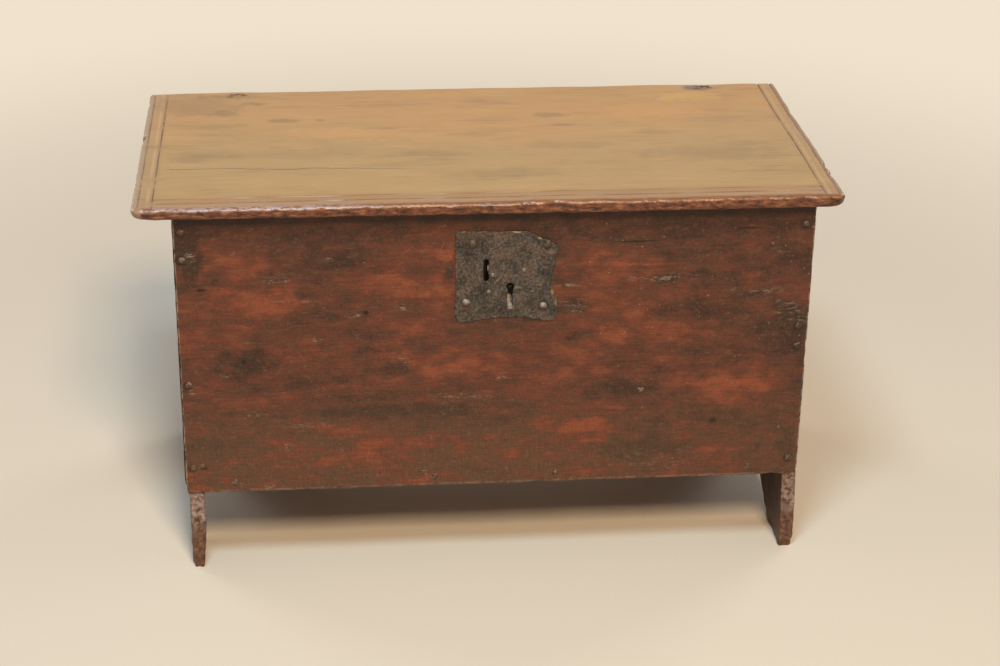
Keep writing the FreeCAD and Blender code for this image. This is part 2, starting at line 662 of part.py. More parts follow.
def hinge_pins(side, sign):
    """Two linked pins: one up through the lid, one down and forward through the back board."""
    x = f"{CARCASS_X} + {sign} * ({HALF_LENGTH} - dims.hinge_inset)"
    lid_reach = f"({HINGE_DROP} + dims.lid_thickness - dims.wire_radius * {FLAT} - dims.clench_sink)"
    lid_pin = snipe_pin(f"{side}_hinge_lid_pin", "dims.lid_eye", lid_reach,
                        ((1, -Y_AXIS), (-1, Y_AXIS)))
    place(lid_pin, x, HINGE_Y, HINGE_Z, FreeCAD.Rotation(Z_AXIS, 90))
    slope = "dims.back_slope"
    depth = "(dims.hinge_standoff + dims.back_thickness - dims.wire_radius - dims.clench_sink)"
    back_reach = f"({depth} / cos({slope}) - dims.back_eye)"
    back_pin = snipe_pin(f"{side}_hinge_back_pin", "dims.back_eye", back_reach,
                         ((1, X_AXIS), (-1, -X_AXIS)))
    place(back_pin, x, f"{HINGE_Y} - dims.back_eye * cos({slope})",
          f"{HINGE_Z} - dims.back_eye * sin({slope})",
          FreeCAD.Rotation(X_AXIS, 90 + number(slope)))
    return lid_pin, back_pin


# ---- lock -------------------------------------------------------------------------------


def plate_profile():
    """The hand-cut outline of the lock plate, about the key's axis, from its upper left corner."""
    left, right = "-dims.plate_left", "dims.plate_right"
    top, foot = "dims.plate_top", "-dims.plate_foot"
    ear_z = f"{foot} + dims.plate_ear_rise"
    return [
        (left, top),
        (left, f"{foot} + dims.plate_left_waist"),
        (f"{left} - dims.plate_ear_left", ear_z),
        (f"{left} + dims.plate_ear_foot", f"{foot} - dims.plate_foot_dip"),
        (f"{left} + dims.plate_arch_left", f"{foot} + dims.plate_foot_dip",
         f"({left} + {right}) / 2", f"{foot} + dims.plate_arch"),
        (f"{right} - dims.plate_arch_right", foot),
        (f"{right} + dims.plate_ear_foot", foot),
        (f"{right} + dims.plate_ear", ear_z,
         f"{right} + dims.plate_right_sweep_out", f"{foot} + dims.plate_right_sweep"),
        (right, f"{foot} + dims.plate_right_waist"),
        (f"{right} + dims.plate_slope_out", f"{top} - dims.plate_slope_drop"),
        ("dims.plate_slope_start", f"{top} - dims.plate_peak_drop"),
    ]


def keyhole():
    """A round hole with a straight tail."""
    half = "dims.keyhole_tail_width / 2"
    shoulder = f"-sqrt(dims.keyhole_radius ^ 2 - ({half}) ^ 2)"
    return [(f"-{half}", "-dims.keyhole_tail"), (half, "-dims.keyhole_tail"),
            (half, shoulder, "0", "dims.keyhole_radius"), (f"-{half}", shoulder)]


def hasp_slot():
    """An upright slot with round ends for the hasp's staple."""
    half = "dims.hasp_slot_width / 2"
    left, right = f"-dims.hasp_slot_offset - {half}", f"-dims.hasp_slot_offset + {half}"
    foot = "dims.hasp_slot_foot"
    top = f"{foot} + dims.hasp_slot_length"
    return [(left, f"{foot} + {half}", "-dims.hasp_slot_offset", foot),
            (right, f"{foot} + {half}"),
            (right, f"{top} - {half}", "-dims.hasp_slot_offset", top),
            (left, f"{top} - {half}")]


def plate_nails():
    """Four large-headed nails near the corners of the lock plate."""
    nail = forged_nail("plate_nail", "dims.plate_nail_length", "dims.plate_nail_head",
                       "dims.plate_nail_head_rise")
    y = f"{FRONT_Y} - dims.plate_thickness"
    left, right = f"{KEY_X} - dims.plate_left", f"{KEY_X} + dims.plate_right"
    foot, top = f"{KEY_Z} - dims.plate_foot", f"{KEY_Z} + dims.plate_top"
    places = [
        (f"{left} + dims.plate_nail_low_left", y, f"{foot} + dims.plate_nail_low_left_rise"),
        (f"{right} - dims.plate_nail_low_right", y, f"{foot} + dims.plate_nail_low_right_rise"),
        (f"{right} - dims.plate_nail_top_right", y, f"{top} - dims.plate_nail_top_right_drop"),
        (f"{left} + dims.plate_nail_top_left", y, f"{top} - dims.plate_nail_top_left_drop"),
    ]
    return nail_row("lock_plate_nails", nail, "front", places)


def lock_plate(seats):
    """The iron plate, planted on the face of the front board."""
    plate = in_lock(new_body("plate_iron"))
    pad(plate, outline(plate, "XZ_Plane", plate_profile()), "dims.plate_thickness")
    pocket(plate, outline(plate, "XZ_Plane", keyhole(), hasp_slot()), reverse=True)
    return cut_for(plate, "lock_plate", seats)


def tenon(body, x, z, headed):
    """A round end through the plate, hammered into a head or filed off flush."""
    pad(body, circle(body, "XZ_Plane", x, z, "dims.tenon_radius"), "dims.plate_thickness")
    if headed:
        rivet_head(body, x, z)


def rivet_head(body, x, z):
    """A low hammered dome on the plate's face."""
    face = "dims.plate_thickness"
    loft(body,
         circle(body, "XZ_Plane", x, z, "dims.rivet_head_radius", offset=face),
         circle(body, "XZ_Plane", x, z, f"dims.rivet_head_radius * {RIVET_TOP}",
                offset=f"{face} + dims.rivet_head_rise"))


def lock_bolt():
    """The sliding bolt, drawn back: nose and tail full height, with a talon for the key between."""
    bolt = in_lock(new_body("bolt_iron"))
    nose = "(-dims.hasp_slot_offset + dims.hasp_slot_width / 2 - dims.bolt_nose)"
    waist = "(dims.bit_radius * cos(asin(dims.bolt_travel / 2 / dims.bit_radius)))"
    clear = "sqrt(dims.bit_radius ^ 2 - dims.bolt_foot ^ 2)"
    talon = "dims.bolt_travel / 2"
    half = "dims.talon_width / 2"
    ramp = "(dims.stud_offset - dims.stud_radius - dims.works_gap - dims.bolt_ramp)"
    face = [
        (nose, "dims.bolt_foot + dims.bolt_bevel"),
        (f"{nose} + dims.bolt_bevel", "dims.bolt_foot"),
        (f"-{clear}", "dims.bolt_foot"),
        (f"-{clear}", waist),
        (f"{talon} - {half}", waist),
        (f"{talon} - {half}", f"{waist} + dims.talon_rise"),
        (f"{talon} + {half}", f"{waist} + dims.talon_rise"),
        (f"{talon} + {half}", waist),
        (ramp, waist),
        (clear, "dims.bolt_foot"),
        ("dims.bolt_tail", "dims.bolt_foot"),
        ("dims.bolt_tail", BOLT_TOP),
        (f"{nose} + dims.bolt_bevel", BOLT_TOP),
        (nose, f"{BOLT_TOP} - dims.bolt_bevel"),
    ]
    pad(bolt, outline(bolt, "XZ_Plane", face, offset="-dims.works_gap"),
        "dims.bolt_thickness", reverse=True)
    room = "(dims.stud_radius + dims.works_gap)"
    slot = rectangle(f"dims.stud_offset - {room}", f"dims.stud_offset + {room} + dims.bolt_travel",
                     f"dims.stud_rise - {room}", f"dims.stud_rise + {room}")
    pocket(bolt, outline(bolt, "XZ_Plane", slot))
    return node(bolt, "lock_bolt")


def bolt_guide():
    """A strap over the bolt beside the hasp slot, riveted through the plate."""
    guide = in_lock(new_body("guide_iron"))
    left = "-dims.guide_offset - dims.guide_width / 2"
    right = "-dims.guide_offset + dims.guide_width / 2"
    low_leg = ("dims.bolt_foot - dims.works_gap - dims.guide_leg", "dims.bolt_foot - dims.works_gap")
    high_leg = (f"{BOLT_TOP} + dims.works_gap", f"{BOLT_TOP} + dims.works_gap + dims.guide_leg")
    strap_back = f"({BOLT_BACK} + dims.works_gap)"
    pad(guide, outline(guide, "XZ_Plane", rectangle(left, right, low_leg[0], high_leg[1]),
                       offset=f"-{strap_back}"), "dims.strap_thickness", reverse=True)
    legs = outline(guide, "XZ_Plane", rectangle(left, right, *low_leg),
                   rectangle(left, right, *high_leg))
    pad(guide, legs, strap_back, reverse=True)
    tenon(guide, "-dims.guide_offset", f"{low_leg[0]} + dims.guide_leg / 2", headed=True)
    tenon(guide, "-dims.guide_offset", f"{high_leg[0]} + dims.guide_leg / 2", headed=False)
    return node(guide, "lock_bolt_guide")


def bolt_stud():
    """A stud riveted in the plate that the bolt's slot rides on, with a cap behind."""
    stud = in_lock(new_body("stud_iron"))
    x, z = "dims.stud_offset", "dims.stud_rise"
    cap = f"({BOLT_BACK} + dims.works_gap)"
    pad(stud, circle(stud, "XZ_Plane", x, z, "dims.stud_radius", offset="dims.plate_thickness"),
        f"dims.plate_thickness + {cap}", reverse=True)
    pad(stud, circle(stud, "XZ_Plane", x, z, "dims.stud_cap_radius", offset=f"-{cap}"),
        "dims.strap_thickness", reverse=True)
    rivet_head(stud, x, z)
    return node(stud, "lock_bolt_stud")


def key_bridge():
    """A strap across the back of the works that carries the key's pin."""
    bridge = in_lock(new_body("bridge_iron"))
    inner = "(dims.bit_radius + dims.bridge_clearance)"
    outer = f"({inner} + dims.bridge_leg)"
    low, high = "-dims.bridge_foot", "(dims.bridge_width - dims.bridge_foot)"
    strap = "(dims.bridge_height - dims.strap_thickness)"
    pad(bridge, outline(bridge, "XZ_Plane", rectangle(f"-{outer}", outer, low, high),
                        offset=f"-{strap}"), "dims.strap_thickness", reverse=True)
    legs = outline(bridge, "XZ_Plane", rectangle(f"-{outer}", f"-{inner}", low, high),
                   rectangle(inner, outer, low, high))
    pad(bridge, legs, strap, reverse=True)
    pad(bridge, circle(bridge, "XZ_Plane", "0", "0", "dims.key_pin_radius",
                       offset="-dims.works_gap"), f"{strap} - dims.works_gap", reverse=True)
    rivet_x = f"({inner} + dims.bridge_leg / 2)"
    rivet_z = f"{low} + dims.bridge_rivet_rise"
    tenon(bridge, f"-{rivet_x}", rivet_z, headed=True)
    tenon(bridge, rivet_x, rivet_z, headed=False)
    return node(bridge, "lock_key_bridge")


def bolt_spring():
    """A leaf spring riveted above the bolt's tail, its free end bearing on the bolt."""
    spring = in_lock(new_body("spring_steel"))
    leaf = "dims.spring_thickness"
    rest = f"({BOLT_TOP} + dims.works_gap)"
    heel = f"({rest} + dims.spring_lift)"
    end = "dims.bolt_tail"
    knee = f"({end} - dims.spring_heel)"
    bearing = "-dims.spring_bearing"
    toe = f"({bearing} - dims.spring_toe)"
    toe_z = f"({rest} + dims.spring_toe_rise)"
    face = [
        (end, heel), (end, f"{heel} + {leaf}"), (knee, f"{heel} + {leaf}"),
        (bearing, f"{rest} + {leaf}"), (toe, f"{toe_z} + {leaf}"), (toe, toe_z),
        (bearing, rest), (knee, heel),
    ]
    pad(spring, outline(spring, "XZ_Plane", face), "dims.spring_width", reverse=True)
    lug = rectangle(f"{end} - dims.spring_lug", end, f"{rest} + dims.spring_lug_gap", heel)
    pad(spring, outline(spring, "XZ_Plane", lug), leaf, reverse=True)
    tenon(spring, f"{end} - dims.spring_lug / 2", f"{rest} + dims.spring_rivet_rise", headed=False)
    return node(spring, "lock_spring")


# ---- assembly ---------------------------------------------------------------------------


def build():
    """Every piece, and then the seats cut for what is driven through it."""
    fill_sheet()
    nails = carcass_nails()
    plate_fixings = plate_nails()
    pins = {side: hinge_pins(side, sign) for side, sign in SIDES}
    works = [bolt_guide(), bolt_stud(), key_bridge(), bolt_spring()]
    lock_bolt()
    lock_plate([plate_fixings] + works)
    front_board([nails["front_nails_left"], nails["front_nails_right"],
                 nails["bottom_nails_front"], plate_fixings])
    back_board([nails["back_nails_left"], nails["back_nails_right"], nails["bottom_nails_back"],
                pins["left"][1], pins["right"][1]])
    for side, sign in SIDES:
        end_board(side, sign, [nails[f"front_nails_{side}"], nails[f"back_nails_{side}"],
                               nails[f"bottom_nails_{side}"]])
    bottom_board([nails[f"bottom_nails_{where}"] for where in ("front", "back", "left", "right")])
    lid_board([pins["left"][0], pins["right"][0]])
    doc.recompute()


def check():
    """Stop on any object that failed, and on any piece that is empty or invalid."""
    failed = [obj.Label for obj in doc.Objects if {"Invalid", "Error"} & set(obj.State)]
    if failed:
        raise RuntimeError(f"failed: {failed}")
    for obj in nodes:
        if obj.Shape.isNull() or not obj.Shape.isValid() or not obj.Shape.Solids:
            raise RuntimeError(f"{obj.Label} has no valid solid")


def export():
    """One STEP file for each piece."""
    os.makedirs("parts", exist_ok=True)
    for obj in nodes:
        obj.Shape.exportStep(os.path.join("parts", f"{obj.Label}.step"))
        print(f"{obj.Label}: {len(obj.Shape.Solids)} solid(s), {obj.Shape.Volume:.0f} mm3")


build()
check()
export()
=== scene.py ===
import math

import bmesh
import bpy
import numpy as np
from mathutils import Matrix, Vector


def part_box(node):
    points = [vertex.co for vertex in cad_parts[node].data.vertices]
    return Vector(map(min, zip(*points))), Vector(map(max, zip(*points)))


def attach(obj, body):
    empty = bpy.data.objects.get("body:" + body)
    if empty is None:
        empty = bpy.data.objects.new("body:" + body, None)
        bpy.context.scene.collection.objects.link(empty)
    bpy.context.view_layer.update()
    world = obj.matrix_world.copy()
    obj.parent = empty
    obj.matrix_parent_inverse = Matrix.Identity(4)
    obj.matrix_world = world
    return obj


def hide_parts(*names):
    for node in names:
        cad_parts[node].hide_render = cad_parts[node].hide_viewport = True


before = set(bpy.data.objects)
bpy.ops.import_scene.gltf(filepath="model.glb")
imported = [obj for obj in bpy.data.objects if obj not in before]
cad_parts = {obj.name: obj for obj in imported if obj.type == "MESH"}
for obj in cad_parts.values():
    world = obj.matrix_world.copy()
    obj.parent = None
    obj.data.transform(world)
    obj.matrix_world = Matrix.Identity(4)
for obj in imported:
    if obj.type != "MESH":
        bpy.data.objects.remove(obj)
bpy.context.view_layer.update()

# Looks for a boarded coffer chest: worn boards with a moulded lid, an iron plate lock, forged
# nails and wire hinges. Shapes are worked out in millimetres in the frame's axes and written to
# the meshes in metres; materials read object coordinates, which are the same frame in metres.

MM = 0.001
X, Y, Z = 0, 1, 2


def span(node):
    """Lowest and highest corner of a node, in millimetres."""
    low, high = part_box(node)
    return np.array(low) / MM, np.array(high) / MM


FRONT_LOW, FRONT_HIGH = span("front_board")
BACK_LOW, BACK_HIGH = span("back_board")
LID_LOW, LID_HIGH = span("lid_board")
PLATE_LOW, PLATE_HIGH = span("lock_plate")
BRIDGE_LOW, BRIDGE_HIGH = span("lock_key_bridge")
MIDDLE_X = (FRONT_LOW[X] + FRONT_HIGH[X]) / 2
FRONT_FACE = FRONT_LOW[Y]
BOARD_FOOT = FRONT_LOW[Z]
BOARD_TOP = FRONT_HIGH[Z]
LID_TOP = LID_HIGH[Z]
HINGES_X = [sum(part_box(f"{side}_hinge_lid_pin"), Vector()).x / 2 / MM for side in ("left", "right")]


def srgb(red, green, blue):
    """A colour written as 8-bit sRGB, as the linear values a shader takes."""
    def linear(level):
        level /= 255
        return level / 12.92 if level <= 0.04045 else ((level + 0.055) / 1.055) ** 2.4
    return (linear(red), linear(green), linear(blue), 1.0)


def placed(name, data):
    """A new object in the scene."""
    made = bpy.data.objects.new(name, data)
    bpy.context.scene.collection.objects.link(made)
    return made


# ---- node helpers ----------------------------------------------------------------------------


class Nodes:
    """A node tree, with short calls for the nodes used here."""

    def __init__(self, tree):
        self.tree = tree

    def feed(self, socket, value):
        """Link a socket, or set its value; a colour is given as 8-bit sRGB."""
        if isinstance(value, bpy.types.NodeSocket):
            self.tree.links.new(value, socket)
        elif socket.type == "RGBA":
            socket.default_value = srgb(*value)
        else:
            socket.default_value = value

    def node(self, kind, fed=(), **settings):
        """The outputs of a new node with settings, its sockets fed by name or number."""
        made = self.tree.nodes.new(kind)
        for key, value in settings.items():
            setattr(made, key, value)
        for socket, value in dict(fed).items():
            self.feed(made.inputs[socket], value)
        return made.outputs

    def math(self, operation, *values, clamp=False):
        fed = enumerate(values)
        return self.node("ShaderNodeMath", fed, operation=operation, use_clamp=clamp)[0]

    def seen(self):
        """1 for the rays that show the backdrop: from the camera, a gloss or a transmission."""
        rays = self.node("ShaderNodeLightPath")
        found = self.math("MAXIMUM", rays["Is Camera Ray"], rays["Is Glossy Ray"])
        return self.math("MAXIMUM", found, rays["Is Transmission Ray"])


class Shader(Nodes):
    """A material, with its colour as built up so far."""

    def __init__(self, name):
        self.material = bpy.data.materials.new(name)
        self.material.use_nodes = True
        super().__init__(self.material.node_tree)
        self.bsdf = self.tree.nodes["Principled BSDF"]
        self.place = self.node("ShaderNodeTexCoord")["Object"]
        self.colour = None

    def vector(self, operation, *values):
        found = self.node("ShaderNodeVectorMath", enumerate(values), operation=operation)
        return found["Value" if operation == "LENGTH" else "Vector"]

    def axes(self, source=None):
        return self.node("ShaderNodeSeparateXYZ", {0: source or self.place})

    def stretched(self, scale, source=None, shift=(0, 0, 0)):
        """Coordinates times a scale along each axis, in cycles per metre, moved by a shift."""
        grown = self.vector("MULTIPLY", source or self.place, scale)
        return self.vector("ADD", grown, shift)

    def noise(self, coordinates, scale=1.0, detail=3.0, roughness=0.5):
        fed = {"Vector": coordinates, "Scale": scale, "Detail": detail, "Roughness": roughness}
        return self.node("ShaderNodeTexNoise", fed)["Fac"]

    def cells(self, coordinates):
        """Distance from the middle of each cell of space, and a tint for each cell."""
        found = self.node("ShaderNodeTexVoronoi", {"Vector": coordinates, "Scale": 1.0})
        return found["Distance"], found["Color"]

    def between(self, value, low, high):
        """A smooth step from 0 to 1 as a value goes from low to high."""
        fed = enumerate((value, low, high))
        return self.node("ShaderNodeMapRange", fed, interpolation_type="SMOOTHSTEP")[0]

    def mix(self, factor, first, second, blend="MIX"):
        fed = {0: factor, 6: first, 7: second}
        return self.node("ShaderNodeMix", fed, data_type="RGBA", blend_type=blend)[2]

    def ramp(self, value, *stops):
        made = self.tree.nodes.new("ShaderNodeValToRGB")
        elements = made.color_ramp.elements
        while len(elements) < len(stops):
            elements.new(0.5)
        for element, (position, colour) in zip(elements, stops):
            element.position = position
            element.color = srgb(*colour)
        self.feed(made.inputs[0], value)
        return made.outputs[0]

    def bump(self, height, depth, strength):
        fed = {"Height": height, "Distance": depth, "Strength": strength}
        return self.node("ShaderNodeBump", fed)[0]

    def drawn(self, along, length, width, seed=0.0, detail=5.0, roughness=0.6):
        """Noise with features of a length along one axis and a width across it, in millimetres."""
        scale = [1 / ((length if axis == along else width) * MM) for axis in range(3)]
        place = self.stretched(scale, shift=(seed, 1.7 * seed, 0.6 * seed))
        return self.noise(place, detail=detail, roughness=roughness)

    def even(self, size, seed=0.0, detail=4.0, roughness=0.55):
        """Noise with features of one size all ways, in millimetres."""
        return self.drawn(X, size, size, seed, detail, roughness)

    def turned(self, axis, degrees, scale):
        """Coordinates turned about an axis and then scaled."""
        fed = {"Vector": self.place, "Angle": math.radians(degrees)}
        found = self.node("ShaderNodeVectorRotate", fed, rotation_type=f"{'XYZ'[axis]}_AXIS")
        return self.stretched(scale, found[0])

    def times(self, *values, clamp=False):
        """The product of values."""
        found = values[0]
        for value in values[1:]:
            found = self.math("MULTIPLY", found, value, clamp=clamp)
        return found

    def total(self, *terms):
        """The sum of values times their weights."""
        found = None
        for weight, value in terms:
            part = self.times(value, weight)
            found = part if found is None else self.math("ADD", found, part)
        return found

    def passing(self, value, low, high):
        """A smooth step as a coordinate or distance goes from low to high, in millimetres."""
        return self.between(value, low * MM, high * MM)

    def near(self, value, place, reach):
        """1 where a coordinate or distance is at a place, falling to 0 a reach away."""
        off = self.math("ABSOLUTE", self.math("SUBTRACT", value, place * MM))
        return self.between(off, reach * MM, 0.0)

    def laid(self, colour, over, amount, *masks):
        """A colour with an amount of another laid over it, where all the masks say."""
        return self.mix(self.times(*masks, amount), colour, over)

    def lay(self, over, amount, *masks):
        """Lay a colour over the material's own."""
        self.colour = self.laid(self.colour, over, amount, *masks)

    def specks(self, size, spacing, share, seed):
        """Round specks of a size and spacing in millimetres, in a share of the cells of space."""
        place = self.stretched([1 / (spacing * MM)] * 3, shift=(seed, seed / 3, seed / 7))
        away, tint = self.cells(place)
        kept = self.between(self.axes(tint)[X], 1 - share, 1 - share + 0.05)
        return self.times(kept, self.between(away, size / spacing, 0.35 * size / spacing))

    def away(self, centre, radii):
        """Distance from a point in millimetres, as a share of an ellipsoid's radii."""
        off = self.vector("SUBTRACT", self.place, [value * MM for value in centre])
        shares = self.vector("MULTIPLY", off, [1 / (value * MM) for value in radii])
        return self.vector("LENGTH", shares)

    def spot(self, centre, radii, soft=0.6):
        """1 inside an ellipsoid about a point, falling to 0 at its edge."""
        return self.between(self.away(centre, radii), 1.0, 1.0 - soft)

    def patch(self, centre, radii, warp):
        """Like spot, with an edge made irregular by a noise."""
        away = self.away(centre, radii)
        return self.between(self.total((1.0, away), (2.2, warp), (1.0, -1.1)), 1.0, 0.25)

    def finish(self, roughness, normal, specular=0.5):
        """The material, with its colour and the rest fed to the shader."""
        for socket, value in (("Base Color", self.colour), ("Roughness", roughness),
                              ("Normal", normal), ("Specular IOR Level", specular)):
            self.feed(self.bsdf.inputs[socket], value)
        return self.material


# ---- camera, light and stage -------------------------------------------------------------------

# The camera looks along +Y, turned to the right, dipped and then rolled by angles in radians.
CAMERA_PLACE = Vector((-232.4, -2712.4, 1504.6)) * MM
CAMERA_TURN = 0.0971
CAMERA_DIP = 0.4342
CAMERA_ROLL = 0.0135
CAMERA_LENS = 77.27
SENSOR = 36.0

BACKDROP = (240, 226, 204)
BLACK = (0, 0, 0)
FLOOR_TONES = (232, 221, 209), (238, 227, 214)
FLOOR_GRAIN = 300
FLOOR_RADIUS, FLOOR_SIDES = 14000, 96
# Here and in the lights, places and distances are in metres.
FLOOR_FADE = 0.95, 2.4
PLAIN_LIGHT = (1.0, 0.97, 0.93)
SURROUND_LEVEL = 0.17
# Name, place, aim, size, power and colour.
LIGHTS = (
    ("warm_softbox", (0.45, -3.9, 4.0), (0, -0.2, 0.2), 1.1, 180, (1.0, 0.77, 0.49)),
    ("cool_softbox", (-0.35, -1.42, 2.78), (0, -0.2, 0.2), 0.58, 36, (0.66, 0.89, 1.0)),
    ("left_fill", (-2.8, 2.3, 1.7), (0, 0.1, 0.3), 1.6, 30, PLAIN_LIGHT),
    ("right_fill", (2.8, 2.3, 1.7), (0, 0.1, 0.3), 1.6, 30, PLAIN_LIGHT),
)


def make_camera():
    """The camera, above and a little to the left, framed for 1000 x 666."""
    turn, dip, roll = CAMERA_TURN, CAMERA_DIP, CAMERA_ROLL
    ahead = Vector((math.sin(turn) * math.cos(dip), math.cos(turn) * math.cos(dip), -math.sin(dip)))
    level = Vector((math.cos(turn), -math.sin(turn), 0))
    upright = level.cross(ahead)
    right = math.cos(roll) * level + math.sin(roll) * upright
    up = math.cos(roll) * upright - math.sin(roll) * level
    data = bpy.data.cameras.new("camera")
    data.lens = CAMERA_LENS
    data.sensor_width = SENSOR
    camera = placed("camera", data)
    turned = Matrix((right, up, -ahead)).transposed().to_4x4()
    camera.matrix_world = Matrix.Translation(CAMERA_PLACE) @ turned
    bpy.context.scene.camera = camera


def area_light(name, place, target, size, power, colour):
    """A square soft light aimed at a point."""
    data = bpy.data.lights.new(name, "AREA")
    data.shape = "SQUARE"
    data.size = size
    data.energy = power
    data.color = colour
    light = placed(name, data)
    light.location = place
    light.rotation_mode = "QUATERNION"
    light.rotation_quaternion = (Vector(target) - Vector(place)).to_track_quat("-Z", "Y")


def make_surround():
    """The world: a weak plain light, seen as the even tone of the backdrop."""
    world = bpy.data.worlds.new("surround")
    bpy.context.scene.world = world
    world.use_nodes = True
    nodes = world.node_tree.nodes
    surround = Nodes(world.node_tree)
    nodes["Background"].inputs["Color"].default_value = (*PLAIN_LIGHT, 1)
    nodes["Background"].inputs["Strength"].default_value = SURROUND_LEVEL
    lit = nodes["Background"].outputs[0]
    shown = surround.node("ShaderNodeBackground", {"Color": BACKDROP, "Strength": 1.0})[0]
    choice = surround.node("ShaderNodeMixShader", {0: surround.seen(), 1: lit, 2: shown})[0]
    surround.feed(nodes["World Output"].inputs["Surface"], choice)


def make_stage():
    """A plain pale floor, which far from the chest turns into the even tone of the backdrop."""
    floor = Shader("pale_floor")
    grain = floor.noise(floor.place, scale=FLOOR_GRAIN, detail=2)
    far = floor.between(floor.vector("LENGTH", floor.place), *FLOOR_FADE)
    floor.colour = floor.mix(far, floor.mix(grain, *FLOOR_TONES), BLACK)
    floor.feed(floor.bsdf.inputs["Emission Color"], BACKDROP)
    floor.feed(floor.bsdf.inputs["Emission Strength"], floor.times(far, floor.seen()))
    material = floor.finish(0.95, floor.bump(grain, 0.0004, 0.3), 0.0)
    turns = [2 * math.pi * step / FLOOR_SIDES for step in range(FLOOR_SIDES)]
    rim = [(FLOOR_RADIUS * math.cos(turn), FLOOR_RADIUS * math.sin(turn), 0) for turn in turns]
    make_mesh("floor", rim, [tuple(range(FLOOR_SIDES))], material)


# ---- mesh helpers ----------------------------------------------------------------------------

PLAN, ELEVATION, PROFILE = [X, Y], [X, Z], [Y, Z]
SHARP_EDGE = 40


def others(axis):
    """The two axes across an axis."""
    return [other for other in range(3) if other != axis]


def rising(value, start, run):
    """From 0 at a start evenly to 1 a run further on, or further back for a run below 0."""
    return np.clip((value - start) / run, 0, 1)


def ruled(low, high, coarse, fine, ends, *bands):
    """Grid lines from low to high, coarsely spaced, but finely near the ends and in the bands.

    ends is the reach of the fine lines from both ends, or from each. A band is a range, or one
    place that lies on a line.
    """
    from_low, from_high = np.broadcast_to(ends, 2)
    bands = [tuple(np.broadcast_to(band, 2)) for band in bands]
    bands += [(low, low + from_low), (high - from_high, high)]
    stops = sorted({low, high} | {min(max(stop, low), high) for band in bands for stop in band})
    found = [low]
    for start, end in zip(stops, stops[1:]):
        middle = (start + end) / 2
        step = fine if any(first <= middle <= last for first, last in bands) else coarse
        count = max(1, math.ceil((end - start) / step))
        found.extend(np.linspace(start, end, count + 1)[1:])
    return np.array(found)


def grid_lines(low, high, *rules):
    """The lines of a grid that fills a box, with a rule for ruled() along each axis."""
    return [ruled(start, end, *rule) for start, end, rule in zip(low, high, rules)]


def cell_middles(grid):
    """The coordinates of the middles of a grid's cells."""
    return np.meshgrid(*[(line[1:] + line[:-1]) / 2 for line in grid], indexing="ij")


def cell_surface(grid, filled=None):
    """Points and outward quads on the surface of the filled cells of a grid, or of all cells."""
    shape = tuple(len(line) for line in grid)
    if filled is None:
        filled = np.ones([count - 1 for count in shape], bool)
    padded = np.pad(filled, 1).astype(int)
    quads = []
    for axis in range(3):
        inner = tuple(slice(None) if other == axis else slice(1, -1) for other in range(3))
        change = np.diff(padded, axis=axis)[inner]
        turns = ((0, 0), (1, 0), (1, 1), (0, 1))
        for kind, order in ((-1, turns), (1, turns[::-1])):
            base = np.stack(np.nonzero(change == kind), axis=1)
            corners = []
            for steps in order:
                corner = base.copy()
                corner[:, [(axis + 1) % 3, (axis + 2) % 3]] += steps
                corners.append(np.ravel_multi_index(corner.T, shape))
            quads.append(np.stack(corners, axis=1))
    quads = np.concatenate(quads)
    used, compact = np.unique(quads, return_inverse=True)
    places = np.unravel_index(used, shape)
    points = np.stack([line[index] for line, index in zip(grid, places)], axis=1)
    return points.astype(float), compact.reshape(quads.shape)


def make_mesh(name, points, faces, *materials):
    """An object from points in millimetres, smooth but for its sharp edges."""
    mesh = bpy.data.meshes.new(name)
    mesh.from_pydata((np.asarray(points) * MM).tolist(), [], np.asarray(faces).tolist())
    mesh.validate()
    mesh.shade_smooth()
    mesh.set_sharp_from_angle(angle=math.radians(SHARP_EDGE))
    for material in materials:
        mesh.materials.append(material)
    return placed(name, mesh)


def wobble(points, wavelength, seed, terms=7):
    """Smooth wandering values of about -1 to 1 over points, from a few sine waves."""
    random = np.random.default_rng(seed)
    total = np.zeros(len(points))
    for _ in range(terms):
        way = random.normal(size=points.shape[1])
        way /= np.linalg.norm(way)
        pitch = 2 * math.pi / wavelength * random.uniform(0.6, 1.7)
        total += np.sin(points @ way * pitch + random.uniform(0, 2 * math.pi))
    return total / math.sqrt(terms)


def waves(points, *terms):
    """The sum of wobbles, each given by its size, wavelength and seed."""
    return sum(size * wobble(points, wavelength, seed) for size, wavelength, seed in terms)


def segment_inside(corners):
    """A function that gives points' depth inside a straight-sided outline and the way in."""
    corners = np.array(corners, float)
    ends = np.roll(corners, -1, axis=0)

    def inside(flat):
        depth = np.full(len(flat), np.inf)
        way = np.zeros_like(flat)
        for start, end in zip(corners, ends):
            run = end - start
            share = np.clip((flat - start) @ run / (run @ run), 0, 1)
            away = flat - (start + share[:, None] * run)
            gap = np.hypot(*away.T)
            nearer = gap < depth - 1e-9
            depth = np.where(nearer, gap, depth)
            way[nearer] = np.array([-run[1], run[0]]) / np.linalg.norm(run)
        return depth, way
    return inside


def rectangle_inside(low, high, corner=0.0):
    """The same for a rectangle with rounded corners."""
    low, high = np.array(low, float), np.array(high, float)
    middle, half = (low + high) / 2, (high - low) / 2 - corner

    def inside(flat):
        off = flat - middle
        past = np.abs(off) - half
        out = np.maximum(past, 0)
        length = np.hypot(*out.T)
        nearest = (past[:, 0] < past[:, 1]).astype(int)
        straight = np.zeros_like(flat)
        straight[np.arange(len(flat)), nearest] = 1
        rounded = out / np.maximum(length, 1e-9)[:, None]
        way = -np.where((length > 1e-9)[:, None], rounded, straight) * np.sign(off)
        depth = corner - np.where(length > 1e-9, length, past.max(axis=1))
        return depth, way
    return inside


